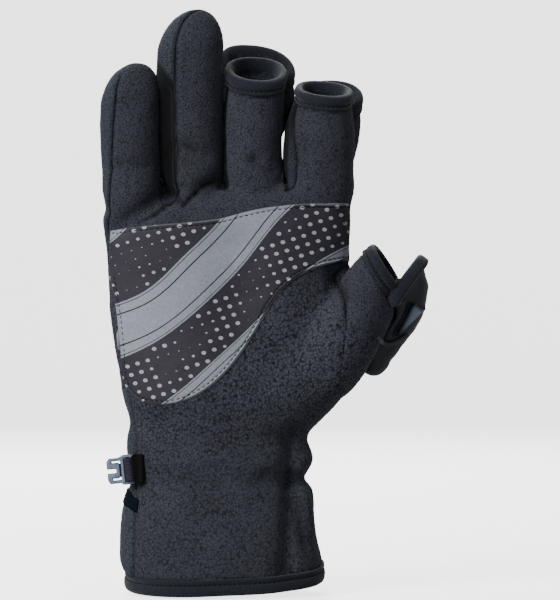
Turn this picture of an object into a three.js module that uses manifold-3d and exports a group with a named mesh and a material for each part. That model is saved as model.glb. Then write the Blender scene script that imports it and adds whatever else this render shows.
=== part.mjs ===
// A right-hand fleece glove shaped as it is worn, standing on its cuff with the fingers up.
// +Z runs from the cuff to the fingertips, +X to the thumb's side, and the palm faces -Y.
// The origin is the middle of the cuff's mouth, where the hand goes in. Sizes are in millimetres.
import * as THREE from "three";
import { mergeVertices } from "three/addons/utils/BufferGeometryUtils.js";
import Module from "manifold-3d";

const wasm = await Module();
wasm.setup();

// Driving dimensions
const FLEECE = 2.2; // thickness of the fleece
const SEAM_GAP = 0.3; // clearance between pieces that are sewn together
const PATCH_THICKNESS = 1.0;
const BINDING_HEIGHT = 3.6; // of the elastic binding at the finger and thumb mouths
const CUFF_BINDING_HEIGHT = 4.4;
const PAST_THE_MOUTH = 8; // how far the hollow runs out of an open end, so that it cuts clean
const CUFF_MIDDLE = { x: -1, z: 6 }; // where the middle of the cuff's mouth is in the tables below
const HEM_TILT = { across: 0.035, deep: 0.1, fadesBy: 50 }; // rise of the hem to the thumb's side and to the back

const UP = new THREE.Vector3(0, 0, 1);
const TO_BACK = new THREE.Vector3(0, 1, 0);

// The hand from the hem to the knuckles, one row for each level section:
// the section's middle, its half width, and its depth to the palm and to the back of the hand.
const HAND = [
  { z: 10.7, x: -1.0, y: 0, width: 41.2, palm: 26, back: 25.5 },
  { z: 17, x: -1.4, y: 0, width: 41.1, palm: 26, back: 25.5 },
  { z: 25, x: -2.2, y: 0, width: 40.6, palm: 25.5, back: 25 },
  { z: 36, x: -2.8, y: 0, width: 39.0, palm: 23.5, back: 23.5 },
  { z: 44, x: -2.6, y: 0, width: 37.6, palm: 21.8, back: 22.2 },
  { z: 49, x: -2.6, y: 0, width: 35.8, palm: 20.6, back: 21.4 },
  { z: 57, x: -2.0, y: 0, width: 37.6, palm: 21.6, back: 21.8 },
  { z: 66, x: -2.6, y: 0, width: 36.9, palm: 21.2, back: 21.2 },
  { z: 73, x: 0.8, y: 0, width: 39.0, palm: 22.0, back: 20.6 },
  { z: 82, x: 3.6, y: 0, width: 44.6, palm: 23.4, back: 20.2 },
  { z: 94, x: 5.4, y: 0, width: 48.2, palm: 23.0, back: 19.6 },
  { z: 108, x: 4.0, y: 0, width: 49.5, palm: 20.6, back: 19.0 },
  { z: 124, x: 2.6, y: 0, width: 49.7, palm: 18.4, back: 18.6 },
  { z: 140, x: 1.6, y: 0, width: 49.5, palm: 17.4, back: 18.2 },
  { z: 153, x: 1.3, y: 0, width: 50.4, palm: 16.8, back: 17.4, acrossSlant: 0.04 },
  { z: 161, x: 1.1, y: 0, width: 50.4, palm: 14.8, back: 15.6, acrossSlant: 0.08 },
  { z: 167, x: 1.4, y: 0, width: 47.6, palm: 9.5, back: 10.5, acrossSlant: 0.1 },
];

// The fingers, from a section inside the hand to the shoulder of a rounded tip or to an open mouth.
// deepSlant is how much a section rises for each millimetre towards the back of the hand, and faces is
// the way that a section looks where that isn't along the finger.
const LITTLE_FINGER = {
  sections: [
    { x: -34.8, y: -0.5, z: 150, width: 10.0, palm: 9.5, back: 9.5 },
    { x: -36.9, y: -1.0, z: 165, width: 12.4, palm: 12.6, back: 12.2 },
    { x: -38.0, y: -1.5, z: 177, width: 12.2, palm: 11.9, back: 11.9 },
    { x: -38.5, y: -2.2, z: 190, width: 12.2, palm: 12.0, back: 11.8 },
    { x: -38.5, y: -3.0, z: 202, width: 12.1, palm: 11.6, back: 11.4 },
  ],
  tip: { x: -36.4, y: -4.2, z: 219.2 },
};
const RING_FINGER = {
  sections: [
    { x: -12.8, y: 0.2, z: 152, width: 11.0, palm: 11.0, back: 11.0 },
    { x: -12.9, y: 0.0, z: 169, width: 11.9, palm: 13.2, back: 12.6 },
    { x: -13.1, y: -0.2, z: 182, width: 11.8, palm: 12.2, back: 12.4 },
    { x: -13.2, y: -0.8, z: 196, width: 12.1, palm: 13.0, back: 12.4 },
    { x: -13.2, y: -1.6, z: 210, width: 12.5, palm: 12.8, back: 12.4 },
    { x: -13.5, y: -2.6, z: 223.5, width: 13.2, palm: 12.4, back: 12.0 },
  ],
  tip: { x: -10.4, y: -4.2, z: 240.9 },
};
const MIDDLE_FINGER = {
  sections: [
    { x: 13.0, y: 0.3, z: 152, width: 10.6, palm: 11.0, back: 11.0, deepSlant: 0 },
    { x: 12.3, y: 0.2, z: 170, width: 12.0, palm: 12.8, back: 12.4, deepSlant: 0 },
    { x: 11.8, y: 0.0, z: 182, width: 11.7, palm: 11.8, back: 12.0, deepSlant: 0.1 },
    { x: 12.3, y: -0.4, z: 196, width: 12.0, palm: 12.0, back: 11.8, deepSlant: 0.25 },
    { x: 13.2, y: -1.0, z: 213, width: 12.0, palm: 11.4, back: 11.4, deepSlant: 0.48 },
  ],
};
const INDEX_FINGER = {
  sections: [
    { x: 38.2, y: -0.4, z: 150, width: 10.0, palm: 9.4, back: 9.4, deepSlant: 0 },
    { x: 39.8, y: -0.8, z: 166, width: 12.8, palm: 12.8, back: 12.4, deepSlant: 0 },
    { x: 39.9, y: -1.0, z: 178, width: 13.2, palm: 12.4, back: 12.2, deepSlant: 0.05 },
    { x: 40.2, y: -1.4, z: 192, width: 13.4, palm: 12.2, back: 12.0, deepSlant: 0.15 },
    { x: 40.8, y: -2.0, z: 205, width: 11.4, palm: 11.2, back: 11.2, deepSlant: 0.3 },
  ],
};
// The thumb leaves the heel of the hand, leans out and comes forward of the palm.
const THUMB = {
  sections: [
    { x: 31.0, y: -3.5, z: 86, width: 13.0, palm: 15.5, back: 13.0 },
    { x: 40.5, y: -6.5, z: 96, width: 15.8, palm: 16.5, back: 14.0 },
    { x: 49.0, y: -10.0, z: 107, width: 14.8, palm: 15.0, back: 14.0 },
    { x: 57.0, y: -13.0, z: 121, width: 13.0, palm: 13.2, back: 13.2 },
    { x: 63.6, y: -16.0, z: 134, width: 10.3, palm: 11.4, back: 11.4, faces: [0.84, -0.14, 0.53] },
  ],
};

// Each cap is a soft thimble turned back over its finger, with its mouth up and its tip to the wrist.
// Its table runs from the mouth to the tip.
const CAP_WALL = { fleece: 2.0, smooth: 1.6 };
const MIDDLE_CAP = {
  sections: [
    { x: 13.5, y: 20.4, z: 214.5, width: 14.6, palm: 8.6, back: 8.2, deepSlant: -1.05 },
    { x: 13.5, y: 20.4, z: 204.5, width: 14.5, palm: 8.6, back: 8.2, deepSlant: -0.6 },
    { x: 13.0, y: 20.4, z: 197, width: 13.8, palm: 8.6, back: 8.0, deepSlant: -0.2 },
    { x: 11.0, y: 19.8, z: 188, width: 11.8, palm: 7.9, back: 7.2 },
  ],
  tip: { x: 11.4, y: 18.6, z: 174.0 },
};
const INDEX_CAP = {
  sections: [
    { x: 43.2, y: 19.2, z: 203.8, width: 13.3, palm: 8.5, back: 8.0, deepSlant: -0.85 },
    { x: 43.2, y: 19.2, z: 195.5, width: 13.2, palm: 8.5, back: 8.0, deepSlant: -0.4 },
    { x: 42.5, y: 19.2, z: 187, width: 12.7, palm: 8.5, back: 7.8 },
    { x: 41.2, y: 18.8, z: 177, width: 11.0, palm: 7.9, back: 7.2 },
  ],
  tip: { x: 40.6, y: 18.4, z: 164 },
};
const THUMB_CAP = {
  sections: [
    { x: 75.6, y: -8.4, z: 130.0, width: 11.4, palm: 7.4, back: 8.2, faces: [0.78, 0.1, -0.62] },
    { x: 76.0, y: -4.6, z: 121.6, width: 9.2, palm: 8.2, back: 8.2, faces: [0.5, 0.35, -0.8] },
    { x: 72.2, y: 0.8, z: 114.0, width: 8.6, palm: 8.2, back: 8.2, faces: [-0.15, 0.45, -0.88] },
    { x: 66.2, y: 4.2, z: 107.2, width: 8.8, palm: 7.8, back: 7.8 },
    { x: 61.8, y: 5.4, z: 100.6, width: 7.6, palm: 6.8, back: 6.8 },
  ],
  tip: { x: 58.6, y: 5.4, z: 91.8 },
};

// Folds pressed into the cloth: a line across the front view, how deep and how wide, and the face it is on.
const FOLDS = [
  { name: "little finger base", from: [-44, 151], to: [-24.5, 163], depth: 2.2, reach: 3.2, face: -1 },
  { name: "ring finger base", from: [-21, 165], to: [-2, 170], depth: 2.0, reach: 3.0, face: -1 },
  { name: "ring finger middle joint", from: [-24, 191], to: [-6, 183], depth: 1.4, reach: 3.6, face: -1 },
  { name: "middle finger base", from: [13, 178], to: [27, 171], depth: 1.2, reach: 3.6, face: -1 },
  { name: "hollow of the palm", from: [4, 140], to: [10, 104], depth: 2.4, reach: 15, face: -1 },
  { name: "life line", from: [40, 128], to: [20, 92], depth: 1.0, reach: 7, face: -1 },
  { name: "thumb web", from: [46, 134], to: [49, 118], depth: 2.2, reach: 3.6, face: -1 },
  { name: "cuff crease", from: [27, 62], to: [29, 14], depth: 1.6, reach: 5.5, face: -1 },
  { name: "wrist crease", from: [18, 50], to: [38, 47], depth: 1.4, reach: 4.2, face: -1 },
  { name: "wrist crease at the back", from: [-34, 52], to: [34, 50], depth: 1.2, reach: 6, face: 1 },
];

const SIDES = { hand: 32, finger: 16 }; // points around each outline
const SQUARENESS = { hand: 2.5, finger: 2.2 }; // 2 is an ellipse, and more is squarer
const DOME_RINGS = 3;

// A ring's points keep away from the fold lines: how far a point of the cloth is pressed in.
function pressedIn(point, face) {
  const here = new THREE.Vector3(point.x, 0, point.z);
  const nearest = new THREE.Vector3();
  let depth = 0;
  for (const fold of FOLDS) {
    if (fold.face * face < 0) continue;
    const start = new THREE.Vector3(fold.from[0], 0, fold.from[1]);
    const end = new THREE.Vector3(fold.to[0], 0, fold.to[1]);
    new THREE.Line3(start, end).closestPointToPoint(here, true, nearest);
    depth += fold.depth * Math.exp(-((here.distanceTo(nearest) / fold.reach) ** 2));
  }
  return depth;
}

// One section's outline, grown by an offset. It lies across the way that the section faces,
// and its first axis is level, so that the second runs to the back of the hand.
function outlineOf(section, grow, sides, squareness, folded = false) {
  const across = new THREE.Vector3().crossVectors(TO_BACK, section.facing).normalize();
  const deep = new THREE.Vector3().crossVectors(section.facing, across);
  const power = 2 / squareness;
  return Array.from({ length: sides }, (_, i) => {
    const turn = (2 * Math.PI * i) / sides;
    const c = Math.cos(turn);
    const s = Math.sin(turn);
    const depth = (s < 0 ? section.palm : section.back) + grow;
    const a = Math.sign(c) * Math.abs(c) ** power * (section.width + grow);
    const b = Math.sign(s) * Math.abs(s) ** power * depth;
    const rise = (section.acrossSlant ?? 0) * a + (section.deepSlant ?? 0) * b;
    const point = section.centre
      .clone()
      .addScaledVector(across, a)
      .addScaledVector(deep, b)
      .addScaledVector(section.facing, rise);
    if (folded) {
      const outward = across.clone().multiplyScalar(c).addScaledVector(deep, s).normalize();
      point.addScaledVector(outward, -pressedIn(point, Math.sign(s)) * Math.abs(s) ** 0.5);
    }
    return point;
  });
}

// A table's rows as sections that each know their middle and the way they face.
function sectionsOf(rows, level = false) {
  const middles = rows.map((row) => new THREE.Vector3(row.x, row.y, row.z));
  return rows.map((row, i) => {
    const before = middles[Math.max(i - 1, 0)];
    const after = middles[Math.min(i + 1, rows.length - 1)];
    const along = row.faces ? new THREE.Vector3(...row.faces) : after.clone().sub(before);
    return { ...row, centre: middles[i], facing: level ? UP.clone() : along.normalize() };
  });
}

// A closed skin over rings of points, with a fan over each end.
function skinOver(rings, startPoint, endPoint) {
  const sides = rings[0].length;
  const points = [...rings.flat(), startPoint, endPoint];
  const start = points.length - 2;
  const end = points.length - 1;
  const faces = [];
  rings.forEach((ring, r) => {
    for (let i = 0; i < sides; i++) {
      const here = r * sides + i;
      const beside = r * sides + ((i + 1) % sides);
      if (r === 0) faces.push(start, beside, here);
      if (r === rings.length - 1) faces.push(end, here, beside);
      else faces.push(here, beside, beside + sides, here, beside + sides, here + sides);
    }
  });
  const geometry = new THREE.BufferGeometry().setFromPoints(points);
  return geometry.setIndex(faces);
}

function middleOf(ring) {
  const sum = ring.reduce((total, point) => total.add(point), new THREE.Vector3());
  return sum.divideScalar(ring.length);
}

// Turns a closed geometry's faces round if they look inwards.
function facingOut(geometry) {
  const place = geometry.attributes.position;
  const index = geometry.index.array;
  const corner = (k) => new THREE.Vector3().fromBufferAttribute(place, index[k]);
  let volume = 0;
  for (let k = 0; k < index.length; k += 3) {
    volume += corner(k).dot(corner(k + 1).cross(corner(k + 2)));
  }
  if (volume < 0) index.reverse();
  return geometry;
}

// A closed three.js geometry as a manifold-3d solid.
function solidOf(geometry) {
  const bare = geometry.clone();
  bare.deleteAttribute("normal");
  bare.deleteAttribute("uv");
  const merged = facingOut(mergeVertices(bare, 1e-4));
  return new wasm.Manifold(
    new wasm.Mesh({
      numProp: 3,
      vertProperties: new Float32Array(merged.attributes.position.array),
      triVerts: new Uint32Array(merged.index.array),
    }),
  );
}

// A solid's largest body as a three.js geometry: a cut can leave crumbs.
function geometryOf(solid) {
  const bodies = solid.decompose();
  const largest = bodies.reduce((a, b) => (b.volume() > a.volume() ? b : a));
  const mesh = largest.getMesh();
  const geometry = new THREE.BufferGeometry();
  geometry.setAttribute("position", new THREE.BufferAttribute(mesh.vertProperties, 3));
  geometry.setIndex(new THREE.BufferAttribute(mesh.triVerts, 1));
  geometry.computeVertexNormals();
  return geometry;
}

// The rings of a rounded end, from its shoulder to just short of its tip.
function domeSections(shoulder, tip) {
  return Array.from({ length: DOME_RINGS }, (_, k) => {
    const turn = ((k + 1) / (DOME_RINGS + 1)) * (Math.PI / 2);
    const shrink = Math.cos(turn);
    return {
      ...shoulder,
      centre: shoulder.centre.clone().lerp(tip, Math.sin(turn)),
      shrink,
    };
  });
}

// A finger or a cap as a solid, grown by an offset. A finger with a tip is closed there by a dome,
// and one without runs past its mouth when it is the hollow.
function fingerSolid(finger, grow, { sides = SIDES.finger, open = false, folded = false } = {}) {
  const sections = sectionsOf(finger.sections);
  const last = sections[sections.length - 1];
  const ring = (section) => outlineOf(section, grow, sides, SQUARENESS.finger, folded);
  const rings = sections.map(ring);
  let end;
  if (finger.tip) {
    const tip = new THREE.Vector3(finger.tip.x, finger.tip.y, finger.tip.z);
    end = tip.clone().addScaledVector(tip.clone().sub(last.centre).normalize(), grow);
    for (const dome of domeSections(last, end)) {
      const flat = { ...dome, deepSlant: 0, acrossSlant: 0 };
      const whole = outlineOf(flat, grow, sides, SQUARENESS.finger, folded);
      rings.push(whole.map((p) => p.sub(dome.centre).multiplyScalar(dome.shrink).add(dome.centre)));
    }
  } else if (open) {
    const past = { ...last, centre: last.centre.clone().addScaledVector(last.facing, PAST_THE_MOUTH) };
    rings.push(ring(past));
  }
  if (open && finger.tip) {
    const first = sections[0];
    const past = { ...first, centre: first.centre.clone().addScaledVector(first.facing, -PAST_THE_MOUTH) };
    rings.unshift(ring(past));
  }
  return solidOf(skinOver(rings, middleOf(rings[0]), end ?? middleOf(rings[rings.length - 1])));
}

// The hand's sections. The hem's tilt fades out by the wrist.
function handSections() {
  return sectionsOf(HAND, true).map((section) => {
    const share = Math.max(0, 1 - (section.z - HAND[0].z) / HEM_TILT.fadesBy);
    const acrossSlant = (section.acrossSlant ?? 0) + HEM_TILT.across * share;
    return { ...section, acrossSlant, deepSlant: HEM_TILT.deep * share };
  });
}

function handRings(grow) {
  return handSections().map((section) =>
    outlineOf(section, grow, SIDES.hand, SQUARENESS.hand, true),
  );
}

// The hand as a solid, grown by an offset. As the hollow it runs out through the cuff and stops short of the knuckles.
function handSolid(grow, { open = false } = {}) {
  const rings = handRings(grow);
  if (open) {
    rings.unshift(rings[0].map((p) => p.clone().addScaledVector(UP, -PAST_THE_MOUTH)));
    const top = rings[rings.length - 1];
    top.forEach((p) => p.addScaledVector(UP, grow));
  }
  return solidOf(skinOver(rings, middleOf(rings[0]), middleOf(rings[rings.length - 1])));
}

const FINGERS = [LITTLE_FINGER, RING_FINGER, MIDDLE_FINGER, INDEX_FINGER, THUMB];

// The whole glove's outside, grown by an offset.
function gloveOutside(grow) {
  return FINGERS.reduce(
    (glove, finger) => glove.add(fingerSolid(finger, grow, { folded: true })),
    handSolid(grow),
  );
}

function gloveHollow() {
  return FINGERS.reduce(
    (glove, finger) =>
      glove.add(fingerSolid(finger, -FLEECE, { open: !finger.tip, folded: true })),
    handSolid(-FLEECE, { open: true }),
  );
}

// The line, seen from above, where the palm's cloth meets the back's, at a few heights. On each finger
// it runs from the front on the little finger's side to the middle of the other side.
const SEAM = { side: 1.5, leftEnd: -90, rightEnd: 130, leftTurn: -50.5, rightTurn: 52, step: 0.3 };
const SEAM_LEVELS = [
  { z: -30, front: -8, crotches: [-24.6, -0.2, 25.7] },
  { z: 160, front: -8, crotches: [-24.6, -0.2, 25.7] },
  { z: 178, front: -11.5, crotches: [-25.3, -0.5, 25.0] },
  { z: 204, front: -11.5, crotches: [-25.95, -0.1, 26.6] },
  { z: 224, front: -11.5, crotches: [-27.3, 0.5, 26.6] },
  { z: 270, front: -11.5, crotches: [-27.3, 0.5, 26.6] },
];
const TOOL_REACH = 90;
function seamLine(level, shift) {
  const line = [
    [SEAM.leftEnd, level.front],
    [SEAM.leftTurn, level.front],
  ];
  for (const x of level.crotches) {
    line.push([x - SEAM.step / 2, SEAM.side], [x + SEAM.step / 2, level.front]);
  }
  line.push([SEAM.rightTurn, SEAM.side], [SEAM.rightEnd, SEAM.side]);
  return line.map(([x, y]) => new THREE.Vector2(x + shift, y + 1.4 * shift));
}

// The space in front of the seam line or behind it, as a solid.
function seamTool(shift, towards) {
  const outlines = SEAM_LEVELS.map((level) => {
    const line = seamLine(level, shift);
    const farRight = new THREE.Vector2(line[line.length - 1].x, towards * TOOL_REACH);
    const farLeft = new THREE.Vector2(line[0].x, towards * TOOL_REACH);
    return [...line, farRight, farLeft];
  });
  const count = outlines[0].length;
  const points = outlines.flatMap((outline, k) =>
    outline.map((p) => new THREE.Vector3(p.x, p.y, SEAM_LEVELS[k].z)),
  );
  const faces = [];
  for (let k = 0; k + 1 < outlines.length; k++) {
    for (let i = 0; i < count; i++) {
      const here = k * count + i;
      const beside = k * count + ((i + 1) % count);
      faces.push(here, beside, beside + count, here, beside + count, here + count);
    }
  }
  const top = (outlines.length - 1) * count;
  const turns = THREE.ShapeUtils.isClockWise(outlines[0]) ? -1 : 1;
  for (const [i, j, k] of THREE.ShapeUtils.triangulateShape(outlines[0], [])) {
    faces.push(...(turns > 0 ? [i, k, j] : [i, j, k]));
  }
  for (const [i, j, k] of THREE.ShapeUtils.triangulateShape(outlines[outlines.length - 1], [])) {
    faces.push(...(turns > 0 ? [top + i, top + j, top + k] : [top + i, top + k, top + j]));
  }
  return solidOf(new THREE.BufferGeometry().setFromPoints(points).setIndex(faces));
}

// A prism that runs from front to back, over an outline drawn in the front view.
function frontPrism(shape, fromY, toY, curveSegments = 8) {
  const prism = new THREE.ExtrudeGeometry(shape, {
    depth: toY - fromY,
    bevelEnabled: false,
    curveSegments,
  });
  return solidOf(prism.rotateX(Math.PI / 2).translate(0, toY, 0));
}

// The thumb's own piece of cloth lies to the right of this line, which drops from the crotch.
const THUMB_SEAM = [
  [47.0, 60],
  [47.0, 88],
  [45.8, 104],
  [47.0, 120],
  [51.4, 133],
  [53.4, 138],
  [53.4, 170],
  [120, 170],
  [120, 60],
];
function thumbTool(shift) {
  const corners = THUMB_SEAM.map(([x, z]) => new THREE.Vector2(x + shift, z));
  return frontPrism(new THREE.Shape(corners), -TOOL_REACH, TOOL_REACH);
}

// The palm patch's outline in the front view.
function patchShape() {
  const shape = new THREE.Shape();
  shape.moveTo(-46.1, 132);
  shape.lineTo(-46.1, 150.5);
  shape.bezierCurveTo(-28, 153.6, -10, 153, 2, 156);
  shape.bezierCurveTo(14, 159.6, 24, 161.6, 52, 161.6);
  shape.lineTo(50.2, 138.2);
  shape.bezierCurveTo(33, 136, 24, 129, 18, 118);
  shape.bezierCurveTo(11, 105, -2, 81, -24, 79.8);
  shape.bezierCurveTo(-35, 79.2, -41, 84, -41.6, 95);
  shape.bezierCurveTo(-42, 108, -44, 121, -46.1, 132);
  return shape;
}

const outside = gloveOutside(0);
const clearOfGlove = gloveOutside(SEAM_GAP);
const shell = outside.subtract(gloveHollow());
const fourFingerShell = shell.subtract(thumbTool(-SEAM_GAP));

function palmPanel() {
  return fourFingerShell.intersect(seamTool(0, -1));
}

function backPanel() {
  return fourFingerShell.intersect(seamTool(SEAM_GAP, 1));
}

function thumbStall() {
  return shell.intersect(thumbTool(0));
}

// Thin pieces that lie on the glove take its shape: the space between two growths of it.
function sheetOver(grown, shape, fromGap, toGap, deepest) {
  return grown(toGap).subtract(grown(fromGap)).intersect(frontPrism(shape, -TOOL_REACH, deepest));
}

function palmPatch() {
  const top = SEAM_GAP + PATCH_THICKNESS;
  return sheetOver(gloveOutside, patchShape(), SEAM_GAP, top, -8.2).subtract(thumbTool(-SEAM_GAP));
}

const SIDE_TAB = [
  [-46.0, 45.2],
  [-39.1, 45.0],
  [-35.1, 40.7],
  [-35.5, 35.7],
  [-41.2, 38.6],
  [-46.0, 38.6],
];
function wristTab() {
  const shape = new THREE.Shape(SIDE_TAB.map(([x, z]) => new THREE.Vector2(x, z)));
  return sheetOver(gloveOutside, shape, SEAM_GAP, SEAM_GAP + 0.9, -2);
}

// A binding is a band with a rounded lip that follows an open edge. The first number of its profile
// runs out from the cloth's outer face, and the second on from the cloth's edge.
function bindingProfile(wall, height) {
  return [
    [-wall - 0.5, 0],
    [0.6, 0],
    [0.9, height * 0.5],
    [0.2, height * 0.92],
    [-wall / 2, height],
    [-wall - 0.4, height * 0.8],
  ];
}
function band(section, { wall, height, outline, onward }) {
  const outer = outline(section, 0);
  const inner = outline(section, -1);
  const profile = bindingProfile(wall, height);
  const points = outer.flatMap((p, i) => {
    const outward = p.clone().sub(inner[i]);
    return profile.map(([out, along]) =>
      p
        .clone()
        .addScaledVector(outward, out)
        .addScaledVector(section.facing, onward * (along + SEAM_GAP)),
    );
  });
  const count = profile.length;
  const faces = [];
  for (let i = 0; i < outer.length; i++) {
    const next = (i + 1) % outer.length;
    for (let k = 0; k < count; k++) {
      const above = (k + 1) % count;
      faces.push(i * count + k, next * count + k, next * count + above);
      faces.push(i * count + k, next * count + above, i * count + above);
    }
  }
  return solidOf(new THREE.BufferGeometry().setFromPoints(points).setIndex(faces));
}

const fingerOutline = (section, grow) =>
  outlineOf(section, grow, SIDES.finger, SQUARENESS.finger, false);

function mouthBinding(finger) {
  const sections = sectionsOf(finger.sections);
  return band(sections[sections.length - 1], {
    wall: FLEECE,
    height: BINDING_HEIGHT,
    outline: fingerOutline,
    onward: 1,
  });
}

function cuffBinding() {
  const hem = handSections()[0];
  const outline = (section, grow) =>
    outlineOf(section, grow, SIDES.hand, SQUARENESS.hand, true);
  return band(hem, { wall: FLEECE, height: CUFF_BINDING_HEIGHT, outline, onward: -1 });
}

// A cap stands clear of the finger that it lies on and of that finger's binding.
function cap(finger, table, wall) {
  const whole = fingerSolid(table, 0).subtract(fingerSolid(table, -wall, { open: true }));
  const ownBinding = bindingSpace(sectionsOf(table.sections)[0], -1);
  return whole.subtract(clearOfGlove).subtract(fingerBindingSpace(finger)).subtract(ownBinding);
}

function capBinding(finger, table, wall) {
  const whole = band(sectionsOf(table.sections)[0], {
    wall,
    height: BINDING_HEIGHT,
    outline: fingerOutline,
    onward: -1,
  });
  return whole.subtract(clearOfGlove).subtract(fingerBindingSpace(finger));
}

// The space that a binding takes, with its clearance, as a plain sleeve over the open edge.
function bindingSpace(section, onward) {
  const rings = [0, BINDING_HEIGHT + 2 * SEAM_GAP].map((along) =>
    fingerOutline(section, 0.9 + SEAM_GAP).map((p) =>
      p.addScaledVector(section.facing, onward * along),
    ),
  );
  return solidOf(skinOver(rings, middleOf(rings[0]), middleOf(rings[1])));
}
function fingerBindingSpace(finger) {
  const sections = sectionsOf(finger.sections);
  return bindingSpace(sections[sections.length - 1], 1);
}

// The elastic loop that crosses from the thumb's cloth to its cap, as a narrow strip over both.
const KEEPER = { path: [[60.5, 107.4], [66.8, 104.6], [75.2, 108.4]], width: 1.6, thickness: 1.2 };
function keeperShape() {
  const path = KEEPER.path.map(([x, z]) => new THREE.Vector2(x, z));
  const half = KEEPER.width / 2;
  const above = path.map((p) => new THREE.Vector2(p.x, p.y + half));
  const below = path.map((p) => new THREE.Vector2(p.x, p.y - half)).reverse();
  return new THREE.Shape([...above, ...below]);
}
function thumbKeeper() {
  const thumbAndCap = (grow) =>
    fingerSolid(THUMB, grow, { folded: true }).add(fingerSolid(THUMB_CAP, grow));
  const top = SEAM_GAP + KEEPER.thickness;
  return sheetOver(thumbAndCap, keeperShape(), SEAM_GAP, top, 4).subtract(clearOfGlove);
}

// The hook is a flat frame. Its bar nearest the glove sits in the fold of a webbing loop.
// Its outline is drawn from that bar, with the first number across and the second up.
const HOOK = { x: -37.1, y: -13.2, z: 53.6, tilt: -0.1, thickness: 2.0 };
const HOOK_OUTLINE = [
  [0.8, -6.0],
  [0.8, 6.0],
  [-3.5, 6.0],
  [-4.3, 5.4],
  [-4.5, 5.0],
  [-9.1, 5.0],
  [-10.1, 3.7],
  [-9.95, 0.75],
  [-6.7, 0.75],
  [-6.3, 0.35],
  [-6.3, -0.65],
  [-6.7, -1.05],
  [-9.95, -1.05],
  [-10.0, -3.7],
  [-9.2, -5.2],
  [-4.5, -5.25],
  [-4.3, -5.6],
  [-3.5, -6.0],
];
const HOOK_WINDOW = [
  [-0.8, -5.0],
  [-3.15, -5.0],
  [-3.15, 5.0],
  [-0.8, 5.0],
];
const HOOK_SLOT = [
  [-4.4, 3.9],
  [-8.1, 3.9],
  [-8.1, 3.05],
  [-5.5, 3.05],
  [-4.9, 2.6],
  [-4.9, -2.7],
  [-5.5, -3.15],
  [-8.1, -3.15],
  [-8.1, -4.0],
  [-4.4, -4.0],
];
function placedAtHook(geometry) {
  return geometry.rotateY(HOOK.tilt).translate(HOOK.x, HOOK.y, HOOK.z);
}
function gloveHook() {
  const shape = new THREE.Shape(HOOK_OUTLINE.map(([x, z]) => new THREE.Vector2(x, z)));
  for (const hole of [HOOK_WINDOW, HOOK_SLOT]) {
    shape.holes.push(new THREE.Path(hole.map(([x, z]) => new THREE.Vector2(x, z))));
  }
  const plate = new THREE.ExtrudeGeometry(shape, { depth: HOOK.thickness, bevelEnabled: false });
  plate.translate(0, 0, -HOOK.thickness / 2).rotateX(Math.PI / 2);
  return solidOf(placedAtHook(plate));
}

// The webbing goes round the hook's bar and both its ends are sewn flat on the glove.
const WEBBING = { width: 9.4, inner: 1.6, outer: 2.8, end: 5.2, endLow: -0.4, endHigh: -2.5 };
function hookLoop() {
  const shape = new THREE.Shape();
  shape.moveTo(0, WEBBING.outer);
  shape.absarc(0, 0, WEBBING.outer, Math.PI / 2, (3 * Math.PI) / 2, false);
  shape.lineTo(WEBBING.end, WEBBING.endHigh);
  shape.lineTo(WEBBING.end, WEBBING.endLow);
  const hole = new THREE.Path();
  hole.absarc(0, 0, WEBBING.inner, 0, 2 * Math.PI, true);
  shape.holes.push(hole);
  const loop = new THREE.ExtrudeGeometry(shape, {
    depth: WEBBING.width,
    bevelEnabled: false,
    curveSegments: 8,
  });
  loop.translate(0, 0, -WEBBING.width / 2);
  return solidOf(placedAtHook(loop)).subtract(clearOfGlove);
}

const FLEECE_COLOUR = 0x33363c;
const BINDING_COLOUR = 0x262c36;
const PIECES = [
  ["palm_panel", FLEECE_COLOUR, palmPanel()],
  ["back_panel", FLEECE_COLOUR, backPanel()],
  ["thumb_stall", FLEECE_COLOUR, thumbStall()],
  ["palm_patch", 0x3b373f, palmPatch()],
  ["cuff_binding", BINDING_COLOUR, cuffBinding()],
  ["middle_mouth_binding", BINDING_COLOUR, mouthBinding(MIDDLE_FINGER)],
  ["index_mouth_binding", BINDING_COLOUR, mouthBinding(INDEX_FINGER)],
  ["thumb_mouth_binding", BINDING_COLOUR, mouthBinding(THUMB)],
  ["middle_cap", FLEECE_COLOUR, cap(MIDDLE_FINGER, MIDDLE_CAP, CAP_WALL.fleece)],
  ["index_cap", FLEECE_COLOUR, cap(INDEX_FINGER, INDEX_CAP, CAP_WALL.fleece)],
  ["thumb_cap", 0x2c2f35, cap(THUMB, THUMB_CAP, CAP_WALL.smooth)],
  ["middle_cap_binding", BINDING_COLOUR, capBinding(MIDDLE_FINGER, MIDDLE_CAP, CAP_WALL.fleece)],
  ["index_cap_binding", BINDING_COLOUR, capBinding(INDEX_FINGER, INDEX_CAP, CAP_WALL.fleece)],
  ["thumb_cap_binding", BINDING_COLOUR, capBinding(THUMB, THUMB_CAP, CAP_WALL.smooth)],
  ["thumb_keeper", 0x1d2129, thumbKeeper()],
  ["hook_loop", 0x242028, hookLoop()],
  ["glove_hook", 0x4c5566, gloveHook()],
  ["wrist_tab", 0x0f1119, wristTab()],
];

const group = new THREE.Group();
group.name = "fleece_glove";
for (const [name, color, solid] of PIECES) {
  const geometry = geometryOf(solid).translate(-CUFF_MIDDLE.x, 0, -CUFF_MIDDLE.z);
  const material = new THREE.MeshStandardMaterial({ color, roughness: 0.9 });
  const mesh = new THREE.Mesh(geometry, material);
  mesh.name = name;
  group.add(mesh);
}

export default group;
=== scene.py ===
"""A right-hand fleece glove with fold-back caps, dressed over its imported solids, in metres."""
import math

import bpy
import numpy as np
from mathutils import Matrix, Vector, noise
from mathutils.bvhtree import BVHTree


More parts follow.
